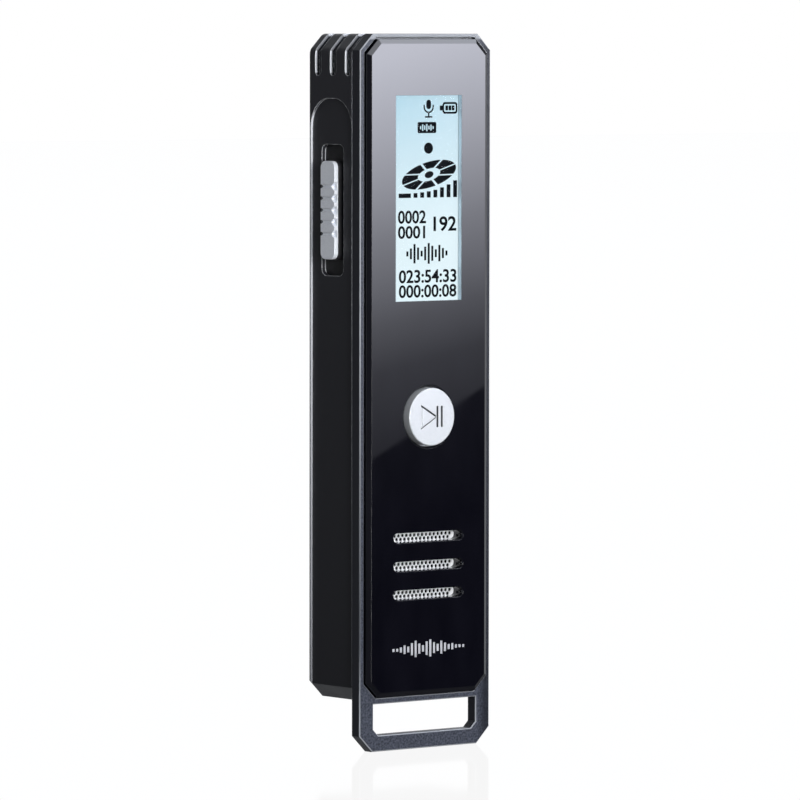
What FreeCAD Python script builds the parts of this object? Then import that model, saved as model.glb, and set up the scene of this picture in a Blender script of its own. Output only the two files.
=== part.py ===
import FreeCAD, Part
import math
import os
import types

import Sketcher

os.makedirs("parts", exist_ok=True)
doc = FreeCAD.newDocument("VoiceRecorder")
sheet = doc.addObject("Spreadsheet::Sheet", "Dims")

# Frame: +Z up along the recorder, +X to the right seen from the display, display facing -Y.
# The origin is the middle of the base, under the lanyard loop. All lengths are in millimetres.

# ---------------------------------------------------------------- driving dimensions
DIMENSIONS = [
    ("body_width", 23.38, "outer width"),
    ("body_height", 100.0, "outer height with the lanyard loop"),
    ("total_depth", 13.15, "play button face to rear face"),
    ("button_rise", 1.5, "play button face ahead of the frame's rim"),
    ("corner", 2.28, "leg of the outline's corner chamfers"),
    ("edge_round", 0.24, "rounding of the frame's outer edges"),
    ("frame_depth", 1.85, "thickness of the front frame plate"),
    ("rim_width", 0.8, "flat rim beside the panel pocket"),
    ("rim_top", 0.52, "flat rim above the panel pocket"),
    ("pocket_bottom", 7.5, "lower end of the panel pocket"),
    ("pocket_depth", 0.9, "depth of the panel pocket"),
    ("pocket_corner", 2.1, "corner chamfer of the panel pocket"),
    ("ledge_width", 1.29, "ledge that carries the panel"),
    ("ledge_corner", 3.5, "corner chamfer of the opening inside the ledge"),
    ("lip_depth", 0.9, "spigot that locates the rear shell"),
    ("lip_wall", 0.7, "wall of that spigot"),
    ("loop_bar", 2.3, "height of the lanyard loop's lower bar"),
    ("loop_side", 2.54, "width of the lanyard loop's side bars"),
    ("spigot_slack", 0.07, "slack round the spigot in the rear shell"),
    ("loop_top", 6.65, "upper edge of the lanyard hole"),
    ("loop_corner", 0.85, "chamfer of the lanyard hole's lower corners"),
    ("shell_bottom", 7.0, "lower end of the rear shell"),
    ("shell_wall", 1.05, "side walls of the rear shell"),
    ("rear_wall", 1.0, "rear wall of the rear shell"),
    ("rear_round", 0.45, "rounding of the rear edges"),
    ("corner_round", 1.2, "rounding of the rear shell's top corners"),
    ("recess_depth", 0.33, "recess in both side faces"),
    ("recess_top", 91.0, "upper end of the side recess"),
    ("recess_round", 4.0, "radius of the recess's arched top"),
    ("recess_margin", 0.55, "side face left standing beside the rear face"),
    ("recess_front", 0.06, "side face left standing beside the seam"),
    ("groove_width", 1.32, "corner groove width"),
    ("groove_depth", 0.7, "corner groove depth"),
    ("groove_pitch", 3.36, "spacing of the corner grooves"),
    ("groove_first", 2.2, "rearmost groove's middle from the rear face"),
    ("groove_foot", 94.2, "lower end of the corner grooves"),
    ("groove_inner", 4.9, "where the grooves end on the top face, from the middle"),
    ("panel_gap", 0.15, "gap beside and under the panel"),
    ("panel_gap_top", 0.24, "gap above the panel"),
    ("panel_rise", 0.36, "panel's side above the rim"),
    ("bevel_rise", 0.36, "height of the panel's bevel"),
    ("bevel_width", 0.6, "width of the panel's bevel"),
    ("panel_corner", 2.0, "corner chamfer of the panel"),
    ("tape_gap", 0.1, "thickness of the panel's adhesive"),
    ("window_width", 11.8, "display window width"),
    ("window_height", 28.66, "display window height"),
    ("window_middle", 77.1, "height of the display window's middle"),
    ("window_depth", 0.8, "thickness of the clear window"),
    ("glass_width", 14.4, "display glass width"),
    ("glass_low", 59.6, "lower edge of the display glass"),
    ("glass_high", 93.2, "upper edge of the display glass"),
    ("glass_depth", 0.9, "display glass thickness"),
    ("button_radius", 4.05, "play button radius"),
    ("button_middle", 46.57, "height of the play button"),
    ("button_slack", 0.15, "running gap round the play button"),
    ("symbol_depth", 0.09, "depth of the play button's engraved symbol"),
    ("slot_length", 12.33, "sound slot length"),
    ("slot_width", 1.34, "sound slot width"),
    ("slot_pitch", 4.0, "sound slot spacing"),
    ("slot_middle", 25.76, "height of the middle sound slot"),
    ("slot_boss", 0.47, "pad behind the panel round the sound slots"),
    ("mesh_hole", 0.26, "radius of the grille's holes"),
    ("mesh_pitch", 0.706, "spacing of the grille's holes"),
    ("mesh_row", 0.26, "grille rows above and below the middle of the pair"),
    ("mesh_drop", 0.12, "middle of each pair of grille rows below the slot's middle"),
    ("slider_depth_pos", 5.1, "record slider's middle from the rear face"),
    ("slider_middle", 75.45, "height of the record slider"),
    ("slider_opening", 4.9, "width of the record slider's slot"),
    ("slider_run", 18.3, "length of the record slider's slot"),
    ("knob_width", 3.2, "record knob width"),
    ("knob_length", 13.7, "record knob length"),
    ("knob_proud", 0.6, "record knob beyond the body's side"),
    ("knob_cap", 0.62, "height of the bright knob cap"),
    ("knob_round", 0.95, "corner radius of the knob"),
    ("notch_pitch", 1.65, "spacing of the thumb notches"),
    ("notch_bite", 0.85, "how far a thumb notch reaches in from the knob's front edge"),
    ("notch_depth", 0.5, "depth of the thumb notches"),
    ("key_length", 7.0, "side key length"),
    ("key_width", 2.2, "side key width"),
    ("key_proud", 0.45, "side key beyond the recessed side"),
    ("key_slack", 0.12, "running gap round a side key"),
    ("key_depth_pos", 0.6, "side keys' middle behind the origin"),
    ("board_front", -2.6, "front face of the main board"),
    ("board_depth", 0.8, "board thickness"),
    ("board_half", 9.1, "half the main board's width"),
    ("board_low", 34.0, "lower end of the main board"),
    ("board_high", 97.0, "upper end of the main board"),
    ("post_radius", 1.3, "screw post radius"),
    ("post_inset", 2.6, "screw posts' middle from the body's side"),
    ("post_end_inset", 3.6, "screw posts' middle from the body's ends"),
    ("screw_radius", 0.8, "case screw radius"),
    ("screw_length", 6.4, "case screw length under the rear wall"),
    ("jack_bore", 1.8, "headphone socket bore radius"),
    ("jack_depth_pos", 0.9, "headphone socket's axis behind the origin"),
    ("jack_length", 11.0, "headphone socket bore depth"),
    ("usb_depth_pos", 2.2, "charging socket's middle behind the origin"),
    ("battery_front", 0.2, "front face of the battery"),
    ("battery_depth", 5.0, "battery thickness"),
]


class Size:
    """A length that carries both its number and the spreadsheet expression behind it."""

    def __init__(self, number, text):
        self.number = number
        self.text = text

    def __add__(self, other):
        other = size(other)
        return Size(self.number + other.number, f"({self.text} + {other.text})")

    def __sub__(self, other):
        other = size(other)
        return Size(self.number - other.number, f"({self.text} - {other.text})")

    def __mul__(self, factor):
        return Size(self.number * factor, f"({self.text} * {factor})")

    def __truediv__(self, factor):
        return Size(self.number / factor, f"({self.text} / {factor})")

    def __neg__(self):
        return Size(-self.number, f"(0 - {self.text})")


def size(value):
    """A plain number as a Size, or the Size itself."""
    if isinstance(value, Size):
        return value
    return Size(float(value), f"({float(value):.4f})")


def fill_sheet():
    """Write every driving dimension into the sheet and return them by name."""
    named = {}
    for row, (alias, value, note) in enumerate(DIMENSIONS, start=1):
        sheet.set(f"A{row}", alias)
        sheet.set(f"B{row}", f"{value}")
        sheet.set(f"C{row}", note)
        sheet.setAlias(f"B{row}", alias)
        named[alias] = Size(value, f"Dims.{alias}")
    doc.recompute()
    return types.SimpleNamespace(**named)


d = fill_sheet()


def bind(thing, name, value):
    """Bind one property of an object to a Size."""
    thing.setExpression(name, size(value).text)


# ---------------------------------------------------------------- planes shared by the pieces
half_width = d.body_width / 2
rear_y = d.total_depth / 2
button_y = -rear_y
rim_y = button_y + d.button_rise
seam_y = rim_y + d.frame_depth
pocket_floor_y = rim_y + d.pocket_depth
panel_rear_y = pocket_floor_y - d.tape_gap
panel_shoulder_y = rim_y - d.panel_rise
crest_y = panel_shoulder_y - d.bevel_rise
window_rear_y = crest_y + d.window_depth
glass_front_y = window_rear_y + 0.06
glass_rear_y = glass_front_y + d.glass_depth
inner_rear_y = rear_y - d.rear_wall
inner_side_x = half_width - d.shell_wall
recessed_x = half_width - d.recess_depth
board_rear_y = d.board_front + d.board_depth
panel_half = half_width - d.rim_width - d.panel_gap
panel_low = d.pocket_bottom + d.panel_gap
panel_high = d.body_height - d.rim_top - d.panel_gap_top
slider_y = rear_y - d.slider_depth_pos
middle_groove_y = rear_y - d.groove_first - d.groove_pitch

# ---------------------------------------------------------------- plain constants
LEG_LOSS = 2 - math.sqrt(2)     # how much shorter a 45 degree corner's leg gets per unit of inset
BEND_SHIFT = math.sqrt(2) - 1   # how far a 45 degree bend moves along a wall per unit of inset
BEYOND = 10.0                   # length of a cut that runs out through an end
CLEAR = 0.02                    # gap between pieces that lie against each other
POST_GAP = 0.03                 # gap between a screw post and the rear wall
WALL_OVERRUN = 0.1              # how far a cut through a wall of the rear shell runs on inside it
MESH_DEPTH = 0.2                # thickness of the grille
FELT_DEPTH = 0.15               # thickness of the dust felt
GASKET_DEPTH = 0.5              # thickness of the loudspeaker's foam gasket
GRILLE_HALF = (7.2, 5.4)        # half the grille's width and height
SPEAKER_HALF = (7.5, 5.5)       # half the loudspeaker's width and height
CARRIER_DEPTH = 0.6             # thickness of the slider's cover plate
ACTUATOR_HALF = (0.7, 0.75)     # half the record switch actuator's depth and height
MIC_X = 5.5                     # microphones' distance from the middle
PLUNGER_Y = -3.34               # where the play button's nub meets its switch
KEYS = [("volume_up", 80.0), ("volume_down", 71.0), ("next", 57.0), ("previous", 48.0)]

NORMALS = {"XY_Plane": "+Z", "XZ_Plane": "-Y", "YZ_Plane": "+X"}
pieces = []


# ---------------------------------------------------------------- sketch outlines
def polygon(sketch, points):
    """A closed polygon whose every corner is placed from the sketch's origin."""
    points = [(size(u), size(v)) for u, v in points]
    lines = []
    for index, (u, v) in enumerate(points):
        after_u, after_v = points[(index + 1) % len(points)]
        start = FreeCAD.Vector(u.number, v.number, 0)
        end = FreeCAD.Vector(after_u.number, after_v.number, 0)
        lines.append(sketch.addGeometry(Part.LineSegment(start, end), False))
    for index, line in enumerate(lines):
        after = lines[(index + 1) % len(lines)]
        sketch.addConstraint(Sketcher.Constraint("Coincident", line, 2, after, 1))
    for line, (u, v) in zip(lines, points):
        place(sketch, line, 1, u, v)


def place(sketch, curve, point, u, v):
    """Fix one point of a curve at (u, v) from the sketch's origin."""
    for kind, value in (("DistanceX", u), ("DistanceY", v)):
        rule = sketch.addConstraint(Sketcher.Constraint(kind, -1, 1, curve, point, value.number))
        bind(sketch, f"Constraints[{rule}]", value)


def circle(sketch, u, v, radius):
    """A circle centred on (u, v)."""
    u, v, radius = size(u), size(v), size(radius)
    middle = FreeCAD.Vector(u.number, v.number, 0)
    ring = sketch.addGeometry(Part.Circle(middle, FreeCAD.Vector(0, 0, 1), radius.number), False)
    place(sketch, ring, 3, u, v)
    rule = sketch.addConstraint(Sketcher.Constraint("Radius", ring, radius.number))
    bind(sketch, f"Constraints[{rule}]", radius)


def rectangle(sketch, left, right, low, high):
    """An upright rectangle."""
    polygon(sketch, [(left, low), (right, low), (right, high), (left, high)])


def octagon(sketch, half, low, high, leg):
    """A rectangle about the middle line with its four corners cut at 45 degrees."""
    half, low, high = size(half), size(low), size(high)
    polygon(sketch, [
        (-half + leg, low), (half - leg, low),
        (half, low + leg), (half, high - leg),
        (half - leg, high), (-half + leg, high),
        (-half, high - leg), (-half, low + leg),
    ])


def rounded(sketch, left, right, low, high, radius):
    """A rectangle with four rounded corners; a radius of half the width makes a stadium."""
    left, right, low, high = size(left), size(right), size(low), size(high)
    radius = size(radius)
    centres = [
        (right - radius, high - radius, 0.0), (left + radius, high - radius, 90.0),
        (left + radius, low + radius, 180.0), (right - radius, low + radius, 270.0),
    ]
    arcs = []
    for u, v, turn in centres:
        middle = FreeCAD.Vector(u.number, v.number, 0)
        ring = Part.Circle(middle, FreeCAD.Vector(0, 0, 1), radius.number)
        start, end = math.radians(turn), math.radians(turn + 90.0)
        arcs.append(sketch.addGeometry(Part.ArcOfCircle(ring, start, end), False))
    for index, arc in enumerate(arcs):
        after = arcs[(index + 1) % len(arcs)]
        start = sketch.getPoint(arc, 2)
        end = sketch.getPoint(after, 1)
        if start.distanceToPoint(end) < 1e-6:
            sketch.addConstraint(Sketcher.Constraint("Tangent", arc, 2, after, 1))
            continue
        line = sketch.addGeometry(Part.LineSegment(start, end), False)
        sketch.addConstraint(Sketcher.Constraint("Tangent", arc, 2, line, 1))
        sketch.addConstraint(Sketcher.Constraint("Tangent", line, 2, after, 1))
    for arc, (u, v, turn) in zip(arcs, centres):
        place(sketch, arc, 3, u, v)
    rule = sketch.addConstraint(Sketcher.Constraint("Radius", arcs[0], radius.number))
    bind(sketch, f"Constraints[{rule}]", radius)


# ---------------------------------------------------------------- PartDesign helpers
def new_body(label):
    body = doc.addObject("PartDesign::Body", label)
    body.Label = label
    pieces.append(body)
    return body


def new_sketch(body, plane, at, outlines):
    """A sketch on one of the body's own origin planes, moved along its normal to "at"."""
    sketch = body.newObject("Sketcher::SketchObject", f"{body.Label}_sketch")
    support = [item for item in body.Origin.OriginFeatures if item.Role == plane][0]
    sketch.AttachmentSupport = [(support, "")]
    sketch.MapMode = "FlatFace"
    offset = -size(at) if NORMALS[plane].startswith("-") else size(at)
    bind(sketch, "AttachmentOffset.Base.z", offset)
    for outline, *sizes in outlines:
        outline(sketch, *sizes)
    return sketch


def add(body, plane, at, toward, length, *outlines):
    """Pad outlines drawn on the plane at "at", in the direction "toward"."""
    sketch = new_sketch(body, plane, at, outlines)
    pad = body.newObject("PartDesign::Pad", f"{body.Label}_pad")
    pad.Profile = sketch
    pad.Reversed = toward != NORMALS[plane]
    bind(pad, "Length", length)
    doc.recompute()
    return pad


def cut(body, plane, at, toward, depth, *outlines):
    """Pocket outlines drawn on the plane at "at"; stops if nothing was removed."""
    before = body.Shape.Volume
    sketch = new_sketch(body, plane, at, outlines)
    pocket = body.newObject("PartDesign::Pocket", f"{body.Label}_pocket")
    pocket.Profile = sketch
    pocket.Reversed = toward == NORMALS[plane]
    bind(pocket, "Length", depth)
    doc.recompute()
    if body.Shape.Volume > before - 1e-4:
        raise RuntimeError(f"{body.Label}: a pocket at {size(at).number} removed nothing")
    return pocket


def soften(body, kind, width, chosen):
    """Fillet or chamfer the edges for which chosen(edge) is true."""
    tip = body.Tip
    names = [f"Edge{number}" for number, edge in enumerate(tip.Shape.Edges, start=1)
             if chosen(edge)]
    if not names:
        raise RuntimeError(f"{body.Label}: no edge to soften")
    feature = body.newObject(f"PartDesign::{kind}", f"{body.Label}_{kind.lower()}")
    feature.Base = (tip, names)
    bind(feature, "Radius" if kind == "Fillet" else "Size", width)
    doc.recompute()
    return feature


def axis_of(body, role):
    return [item for item in body.Origin.OriginFeatures if item.Role == role][0]


def repeat(body, features, role, spacing, count):
    """A linear pattern of features along one of the body's origin axes."""
    pattern = body.newObject("PartDesign::LinearPattern", f"{body.Label}_pattern")
    pattern.Originals = features
    pattern.Direction = (axis_of(body, role), [""])
    bind(pattern, "Length", spacing * (count - 1))
    pattern.Occurrences = count
    body.Tip = pattern
    doc.recompute()
    return pattern


def lies_at(edge, axis, value):
    """True when the whole edge lies in the plane axis = value."""
    low = getattr(edge.BoundBox, f"{axis}Min")
    high = getattr(edge.BoundBox, f"{axis}Max")
    return abs(low - value) < 1e-4 and abs(high - value) < 1e-4


def inside(edge, low_x, high_x, low_z, high_z):
    """True when the edge's box lies within the X and Z limits."""
    box = edge.BoundBox
    fits_x = box.XMin > low_x - 1e-4 and box.XMax < high_x + 1e-4
    fits_z = box.ZMin > low_z - 1e-4 and box.ZMax < high_z + 1e-4
    return fits_x and fits_z


# ---------------------------------------------------------------- Part helpers
def box(label, x, y, z):
    """A Part::Box from its lowest and highest x, y and z."""
    item = doc.addObject("Part::Box", label)
    item.Label = label
    for name, axis, (low, high) in zip(("Length", "Width", "Height"), "xyz", (x, y, z)):
        bind(item, name, size(high) - low)
        bind(item, f"Placement.Base.{axis}", low)
    return item


TURNS = {
    "+Z": FreeCAD.Rotation(),
    "+X": FreeCAD.Rotation(FreeCAD.Vector(0, 1, 0), 90),
    "-X": FreeCAD.Rotation(FreeCAD.Vector(0, 1, 0), -90),
    "+Y": FreeCAD.Rotation(FreeCAD.Vector(1, 0, 0), -90),
    "-Y": FreeCAD.Rotation(FreeCAD.Vector(1, 0, 0), 90),
}


def cylinder(label, start, toward, radius, length):
    """A Part::Cylinder from the middle of one end, running "toward"."""
    item = doc.addObject("Part::Cylinder", label)
    item.Label = label
    bind(item, "Radius", radius)
    bind(item, "Height", length)
    item.Placement = FreeCAD.Placement(FreeCAD.Vector(), TURNS[toward])
    for axis, value in zip("xyz", start):
        bind(item, f"Placement.Base.{axis}", value)
    return item


def cone(label, start, toward, first_radius, last_radius, length):
    item = doc.addObject("Part::Cone", label)
    item.Label = label
    bind(item, "Radius1", first_radius)
    bind(item, "Radius2", last_radius)
    bind(item, "Height", length)
    item.Placement = FreeCAD.Placement(FreeCAD.Vector(), TURNS[toward])
    for axis, value in zip("xyz", start):
        bind(item, f"Placement.Base.{axis}", value)
    return item


def union(label, items):
    item = doc.addObject("Part::MultiFuse", label)
    item.Label = label
    item.Shapes = items
    return item


def less(label, base, tools):
    """The base with every tool cut away."""
    item = doc.addObject("Part::Cut", label)
    item.Label = label
    item.Base = base
    item.Tool = tools[0] if len(tools) == 1 else union(f"{label}_tools", tools)
    return item


def together(label, items):
    """Separate solids that share one node."""
    item = doc.addObject("Part::Compound", label)
    item.Label = label
    item.Links = items
    return item


def keep(item):
    pieces.append(item)
    return item


# ---------------------------------------------------------------- the case
def post_places():
    """The four screw posts' middles, as (x, z)."""
    low = d.shell_bottom + d.post_end_inset
    high = d.body_height - d.post_end_inset
    x = half_width - d.post_inset
    return [(-x, low), (-x, high), (x, low), (x, high)]


def front_frame():
    """Cast frame: rim round the panel, ledge behind it, lanyard loop, spigot and screw posts."""
    body = new_body("front_frame")
    add(body, "XZ_Plane", rim_y, "+Y", d.frame_depth,
        (octagon, half_width, 0, d.body_height, d.corner))
    lip_inset = d.shell_wall + d.spigot_slack
    lip_low = d.shell_bottom + lip_inset
    lip_high = d.body_height - lip_inset
    add(body, "XZ_Plane", seam_y, "+Y", d.lip_depth,
        (octagon, half_width - lip_inset, lip_low, lip_high, d.corner - lip_inset * LEG_LOSS),
        (octagon, half_width - lip_inset - d.lip_wall, lip_low + d.lip_wall,
         lip_high - d.lip_wall, d.corner - (lip_inset + d.lip_wall) * LEG_LOSS))
    posts = [(circle, x, z, d.post_radius) for x, z in post_places()]
    post_length = inner_rear_y - seam_y - POST_GAP
    add(body, "XZ_Plane", seam_y, "+Y", post_length, *posts)
    cut(body, "XZ_Plane", rim_y, "+Y", d.pocket_depth,
        (octagon, half_width - d.rim_width, d.pocket_bottom,
         d.body_height - d.rim_top, d.pocket_corner))
    opening = half_width - d.rim_width - d.ledge_width
    cut(body, "XZ_Plane", rim_y, "+Y", d.frame_depth,
        (octagon, opening, d.pocket_bottom + d.ledge_width,
         d.body_height - d.rim_width - d.ledge_width, d.ledge_corner))
    side = half_width - d.loop_side
    low, top, leg = d.loop_bar, d.loop_top, d.loop_corner
    cut(body, "XZ_Plane", rim_y, "+Y", d.frame_depth,
        (polygon, [(-side + leg, low), (side - leg, low), (side, low + leg),
                   (side, top), (-side, top), (-side, low + leg)]))
    bores = [(circle, x, z, d.screw_radius + CLEAR) for x, z in post_places()]
    cut(body, "XZ_Plane", inner_rear_y - POST_GAP, "-Y", d.screw_length, *bores)
    rim, seam = rim_y.number, seam_y.number
    width, height = half_width.number, d.body_height.number

    def on_outline(edge):
        at_side = abs(abs(edge.CenterOfMass.x) - width) < 1e-3
        at_end = abs(edge.CenterOfMass.z) < 1e-3 or abs(edge.CenterOfMass.z - height) < 1e-3
        leg_middle = width - d.corner.number / 2
        at_corner = abs(abs(edge.CenterOfMass.x) - leg_middle) < 1e-3 and edge.Length < 4
        return at_side or at_end or at_corner

    def on_loop(edge):
        return inside(edge, -side.number, side.number, low.number, top.number)

    soften(body, "Fillet", d.edge_round, lambda edge: (lies_at(edge, "Y", rim) or lies_at(edge, "Y", seam))
           and on_outline(edge))
    soften(body, "Fillet", d.edge_round, lambda edge: lies_at(edge, "Y", rim) and on_loop(edge))
    soften(body, "Fillet", d.edge_round * 0.7, lambda edge: lies_at(edge, "Y", rim)
           and not on_loop(edge) and edge.BoundBox.ZMin > d.pocket_bottom.number - 0.01
           and inside(edge, -width + 0.4, width - 0.4, 0, height - 0.4))
    soften(body, "Fillet", d.edge_round, lambda edge: lies_at(edge, "Y", seam) and on_loop(edge))
    return body


def rear_shell():
    """Deep rear shell with grooved top corners, recessed sides, key slots and sockets."""
    body = new_body("rear_shell")
    top = d.body_height
    add(body, "XZ_Plane", seam_y, "+Y", rear_y - seam_y,
        (octagon, half_width, d.shell_bottom, top, d.corner))
    bends = (top - d.corner).number
    depth = (rear_y - seam_y).number
    soften(body, "Fillet", d.corner_round, lambda edge: edge.BoundBox.ZMin > bends - 0.01
           and abs(edge.BoundBox.YLength - depth) < 0.01)
    rear = rear_y.number
    soften(body, "Fillet", d.rear_round, lambda edge: lies_at(edge, "Y", rear))
    cut(body, "XZ_Plane", seam_y, "+Y", inner_rear_y - seam_y,
        (octagon, inner_side_x, d.shell_bottom + d.shell_wall, top - d.shell_wall,
         d.corner - d.shell_wall * LEG_LOSS))
    seam = seam_y.number
    soften(body, "Fillet", d.edge_round * 0.5, lambda edge: lies_at(edge, "Y", seam)
           and not inside(edge, -inner_side_x.number, inner_side_x.number, 0, 98.96))
    for side, toward in ((-half_width, "+X"), (half_width, "-X")):
        cut(body, "YZ_Plane", side, toward, d.recess_depth,
            (rounded, seam_y + d.recess_front, rear_y - d.recess_margin, size(-BEYOND),
             d.recess_top, d.recess_round))
    grooves(body)
    opening = d.slider_opening / 2
    run = d.slider_run / 2
    cut(body, "YZ_Plane", -half_width, "+X", d.shell_wall + WALL_OVERRUN,
        (rounded, slider_y - opening, slider_y + opening, d.slider_middle - run,
         d.slider_middle + run, 1.0))
    for label, z in KEYS:
        key_outline = stadium_z(d.key_depth_pos, z, d.key_width + d.key_slack * 2,
                                d.key_length + d.key_slack * 2)
        cut(body, "YZ_Plane", half_width, "-X", d.shell_wall + WALL_OVERRUN, key_outline)
    cut(body, "XY_Plane", top, "-Z", d.shell_wall + WALL_OVERRUN, (circle, 0, d.jack_depth_pos, 2.7))
    mics = [(circle, side * MIC_X, middle_groove_y, 0.4) for side in (-1, 1)]
    cut(body, "XY_Plane", top, "-Z", d.shell_wall + WALL_OVERRUN, *mics)
    cut(body, "XY_Plane", d.shell_bottom, "+Z", d.shell_wall + WALL_OVERRUN,
        (rounded, -3.95, 3.95, d.usb_depth_pos - 1.5, d.usb_depth_pos + 1.5, 0.6))
    screw_hole = d.screw_radius + 0.1
    holes = [(circle, x, z, screw_hole) for x, z in post_places()]
    cut(body, "XZ_Plane", rear_y, "-Y", d.rear_wall + WALL_OVERRUN, *holes)
    soften(body, "Chamfer", 0.62, lambda edge: lies_at(edge, "Y", rear)
           and abs(edge.Length - 2 * math.pi * screw_hole.number) < 0.01)
    return body


def grooves(body):
    """Three grooves wrapped round each top corner, open along the side, corner and top."""
    top = d.body_height
    deep = d.groove_depth
    half = d.groove_width / 2
    foot = d.groove_foot + half
    end = d.groove_inner + half
    for number in range(3):
        middle = rear_y - d.groove_first - d.groove_pitch * number
        for side in (-1, 1):
            outline = [
                (half_width + 1, foot), (half_width - deep, foot),
                (half_width - deep, top - d.corner - deep * BEND_SHIFT),
                (half_width - d.corner - deep * BEND_SHIFT, top - deep),
                (end, top - deep), (end, top + 1), (half_width + 1, top + 1),
            ]
            corner = [(u * side, v) for u, v in outline]
            cut(body, "XZ_Plane", middle - half, "+Y", d.groove_width, (polygon, corner))
            face = half_width * side
            cut(body, "YZ_Plane", face, "-X" if side > 0 else "+X", deep,
                (circle, middle, foot, half))
            cut(body, "XY_Plane", top, "-Z", deep, (circle, end * side, middle, half))


def stadium_z(u, v, width, length):
    """A stadium standing along the sketch's second axis."""
    u, v, width, length = size(u), size(v), size(width), size(length)
    return (rounded, u - width / 2, u + width / 2, v - length / 2, v + length / 2,
            width / 2 - 0.0001)


def front_panel():
    """Gloss panel with a bevelled rim, display opening, button hole and three sound slots."""
    body = new_body("front_panel")
    add(body, "XZ_Plane", panel_rear_y, "-Y", panel_rear_y - panel_shoulder_y,
        (octagon, panel_half, panel_low, panel_high, d.panel_corner))
    shoulder = new_sketch(body, "XZ_Plane", panel_shoulder_y,
                          [(octagon, panel_half, panel_low, panel_high, d.panel_corner)])
    crest = new_sketch(body, "XZ_Plane", crest_y,
                       [(octagon, panel_half - d.bevel_width, panel_low + d.bevel_width,
                         panel_high - d.bevel_width, d.panel_corner - d.bevel_width * LEG_LOSS)])
    bevel = body.newObject("PartDesign::AdditiveLoft", "front_panel_bevel")
    bevel.Profile = shoulder
    bevel.Sections = [crest]
    bevel.Ruled = True
    doc.recompute()
    add(body, "XZ_Plane", panel_rear_y, "+Y", d.slot_boss, grille_outline())
    whole = panel_rear_y - crest_y + d.slot_boss
    glass_gap = 0.25
    cut(body, "XZ_Plane", panel_rear_y, "-Y", panel_rear_y - window_rear_y - CLEAR,
        (rectangle, -d.glass_width / 2 - glass_gap, d.glass_width / 2 + glass_gap,
         d.glass_low - glass_gap, d.glass_high + glass_gap))
    cut(body, "XZ_Plane", crest_y, "+Y", whole, window_outline())
    hole = d.button_radius + d.button_slack
    cut(body, "XZ_Plane", crest_y, "+Y", whole, (circle, 0, d.button_middle, hole))
    slots = [slot_outline(row, d.slot_length, d.slot_width) for row in (-1, 0, 1)]
    cut(body, "XZ_Plane", crest_y, "+Y", whole, *slots)
    front = crest_y.number
    soften(body, "Chamfer", 0.32, lambda edge: lies_at(edge, "Y", front)
           and abs(edge.Length - 2 * math.pi * hole.number) < 0.01)
    soften(body, "Chamfer", 0.1, lambda edge: lies_at(edge, "Y", front)
           and inside(edge, -6.5, 6.5, 20, 32))
    return body


def window_outline():
    half = d.window_width / 2
    tall = d.window_height / 2
    return (rectangle, -half, half, d.window_middle - tall, d.window_middle + tall)


def slot_outline(row, length, width):
    """One of the three sound slots, a stadium lying along X."""
    z = d.slot_middle + d.slot_pitch * row
    return (rounded, -length / 2, length / 2, z - width / 2, z + width / 2, width / 2 - 0.0001)


def display_window():
    """Clear window bonded into the panel's display opening, flush with its face."""
    body = new_body("display_window")
    add(body, "XZ_Plane", crest_y, "+Y", d.window_depth, window_outline())


def panel_adhesive():
    """Die-cut tape between the panel and the frame's ledge."""
    body = new_body("panel_adhesive")
    opening = half_width - d.rim_width - d.ledge_width
    add(body, "XZ_Plane", pocket_floor_y, "-Y", d.tape_gap,
        (octagon, panel_half - 0.1, panel_low + 0.1, panel_high - 0.1, d.panel_corner),
        (octagon, opening + 0.05, d.pocket_bottom + d.ledge_width - 0.05,
         d.body_height - d.rim_width - d.ledge_width + 0.05, d.ledge_corner))


# ---------------------------------------------------------------- sound
def grille_outline():
    """The oblong shared by the panel's pad, the grille and the felt."""
    half_x, half_z = GRILLE_HALF
    return (rectangle, -half_x, half_x, d.slot_middle - half_z, d.slot_middle + half_z)


def grille_plate(label, front, thick):
    body = new_body(label)
    add(body, "XZ_Plane", front, "+Y", thick, grille_outline())
    return body


def speaker_mesh():
    """Perforated grille behind the sound slots: two staggered rows of holes in each slot."""
    front = panel_rear_y + d.slot_boss + CLEAR
    body = grille_plate("speaker_mesh", front, MESH_DEPTH)
    columns = 16
    first = -d.mesh_pitch * (columns / 2 - 0.25)
    low = d.slot_middle - d.slot_pitch - d.mesh_drop
    pair = [(circle, first, low - d.mesh_row, d.mesh_hole),
            (circle, first + d.mesh_pitch / 2, low + d.mesh_row, d.mesh_hole)]
    holes = cut(body, "XZ_Plane", front, "+Y", MESH_DEPTH, *pair)
    steps = body.newObject("PartDesign::MultiTransform", "speaker_mesh_holes")
    steps.Originals = [holes]
    across = body.newObject("PartDesign::LinearPattern", "speaker_mesh_columns")
    across.Direction = (axis_of(body, "X_Axis"), [""])
    bind(across, "Length", d.mesh_pitch * (columns - 1))
    across.Occurrences = columns
    rows = body.newObject("PartDesign::LinearPattern", "speaker_mesh_rows")
    rows.Direction = (axis_of(body, "Z_Axis"), [""])
    bind(rows, "Length", d.slot_pitch * 2)
    rows.Occurrences = 3
    steps.Transformations = [across, rows]
    body.Tip = steps
    doc.recompute()
    return front + MESH_DEPTH


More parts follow.
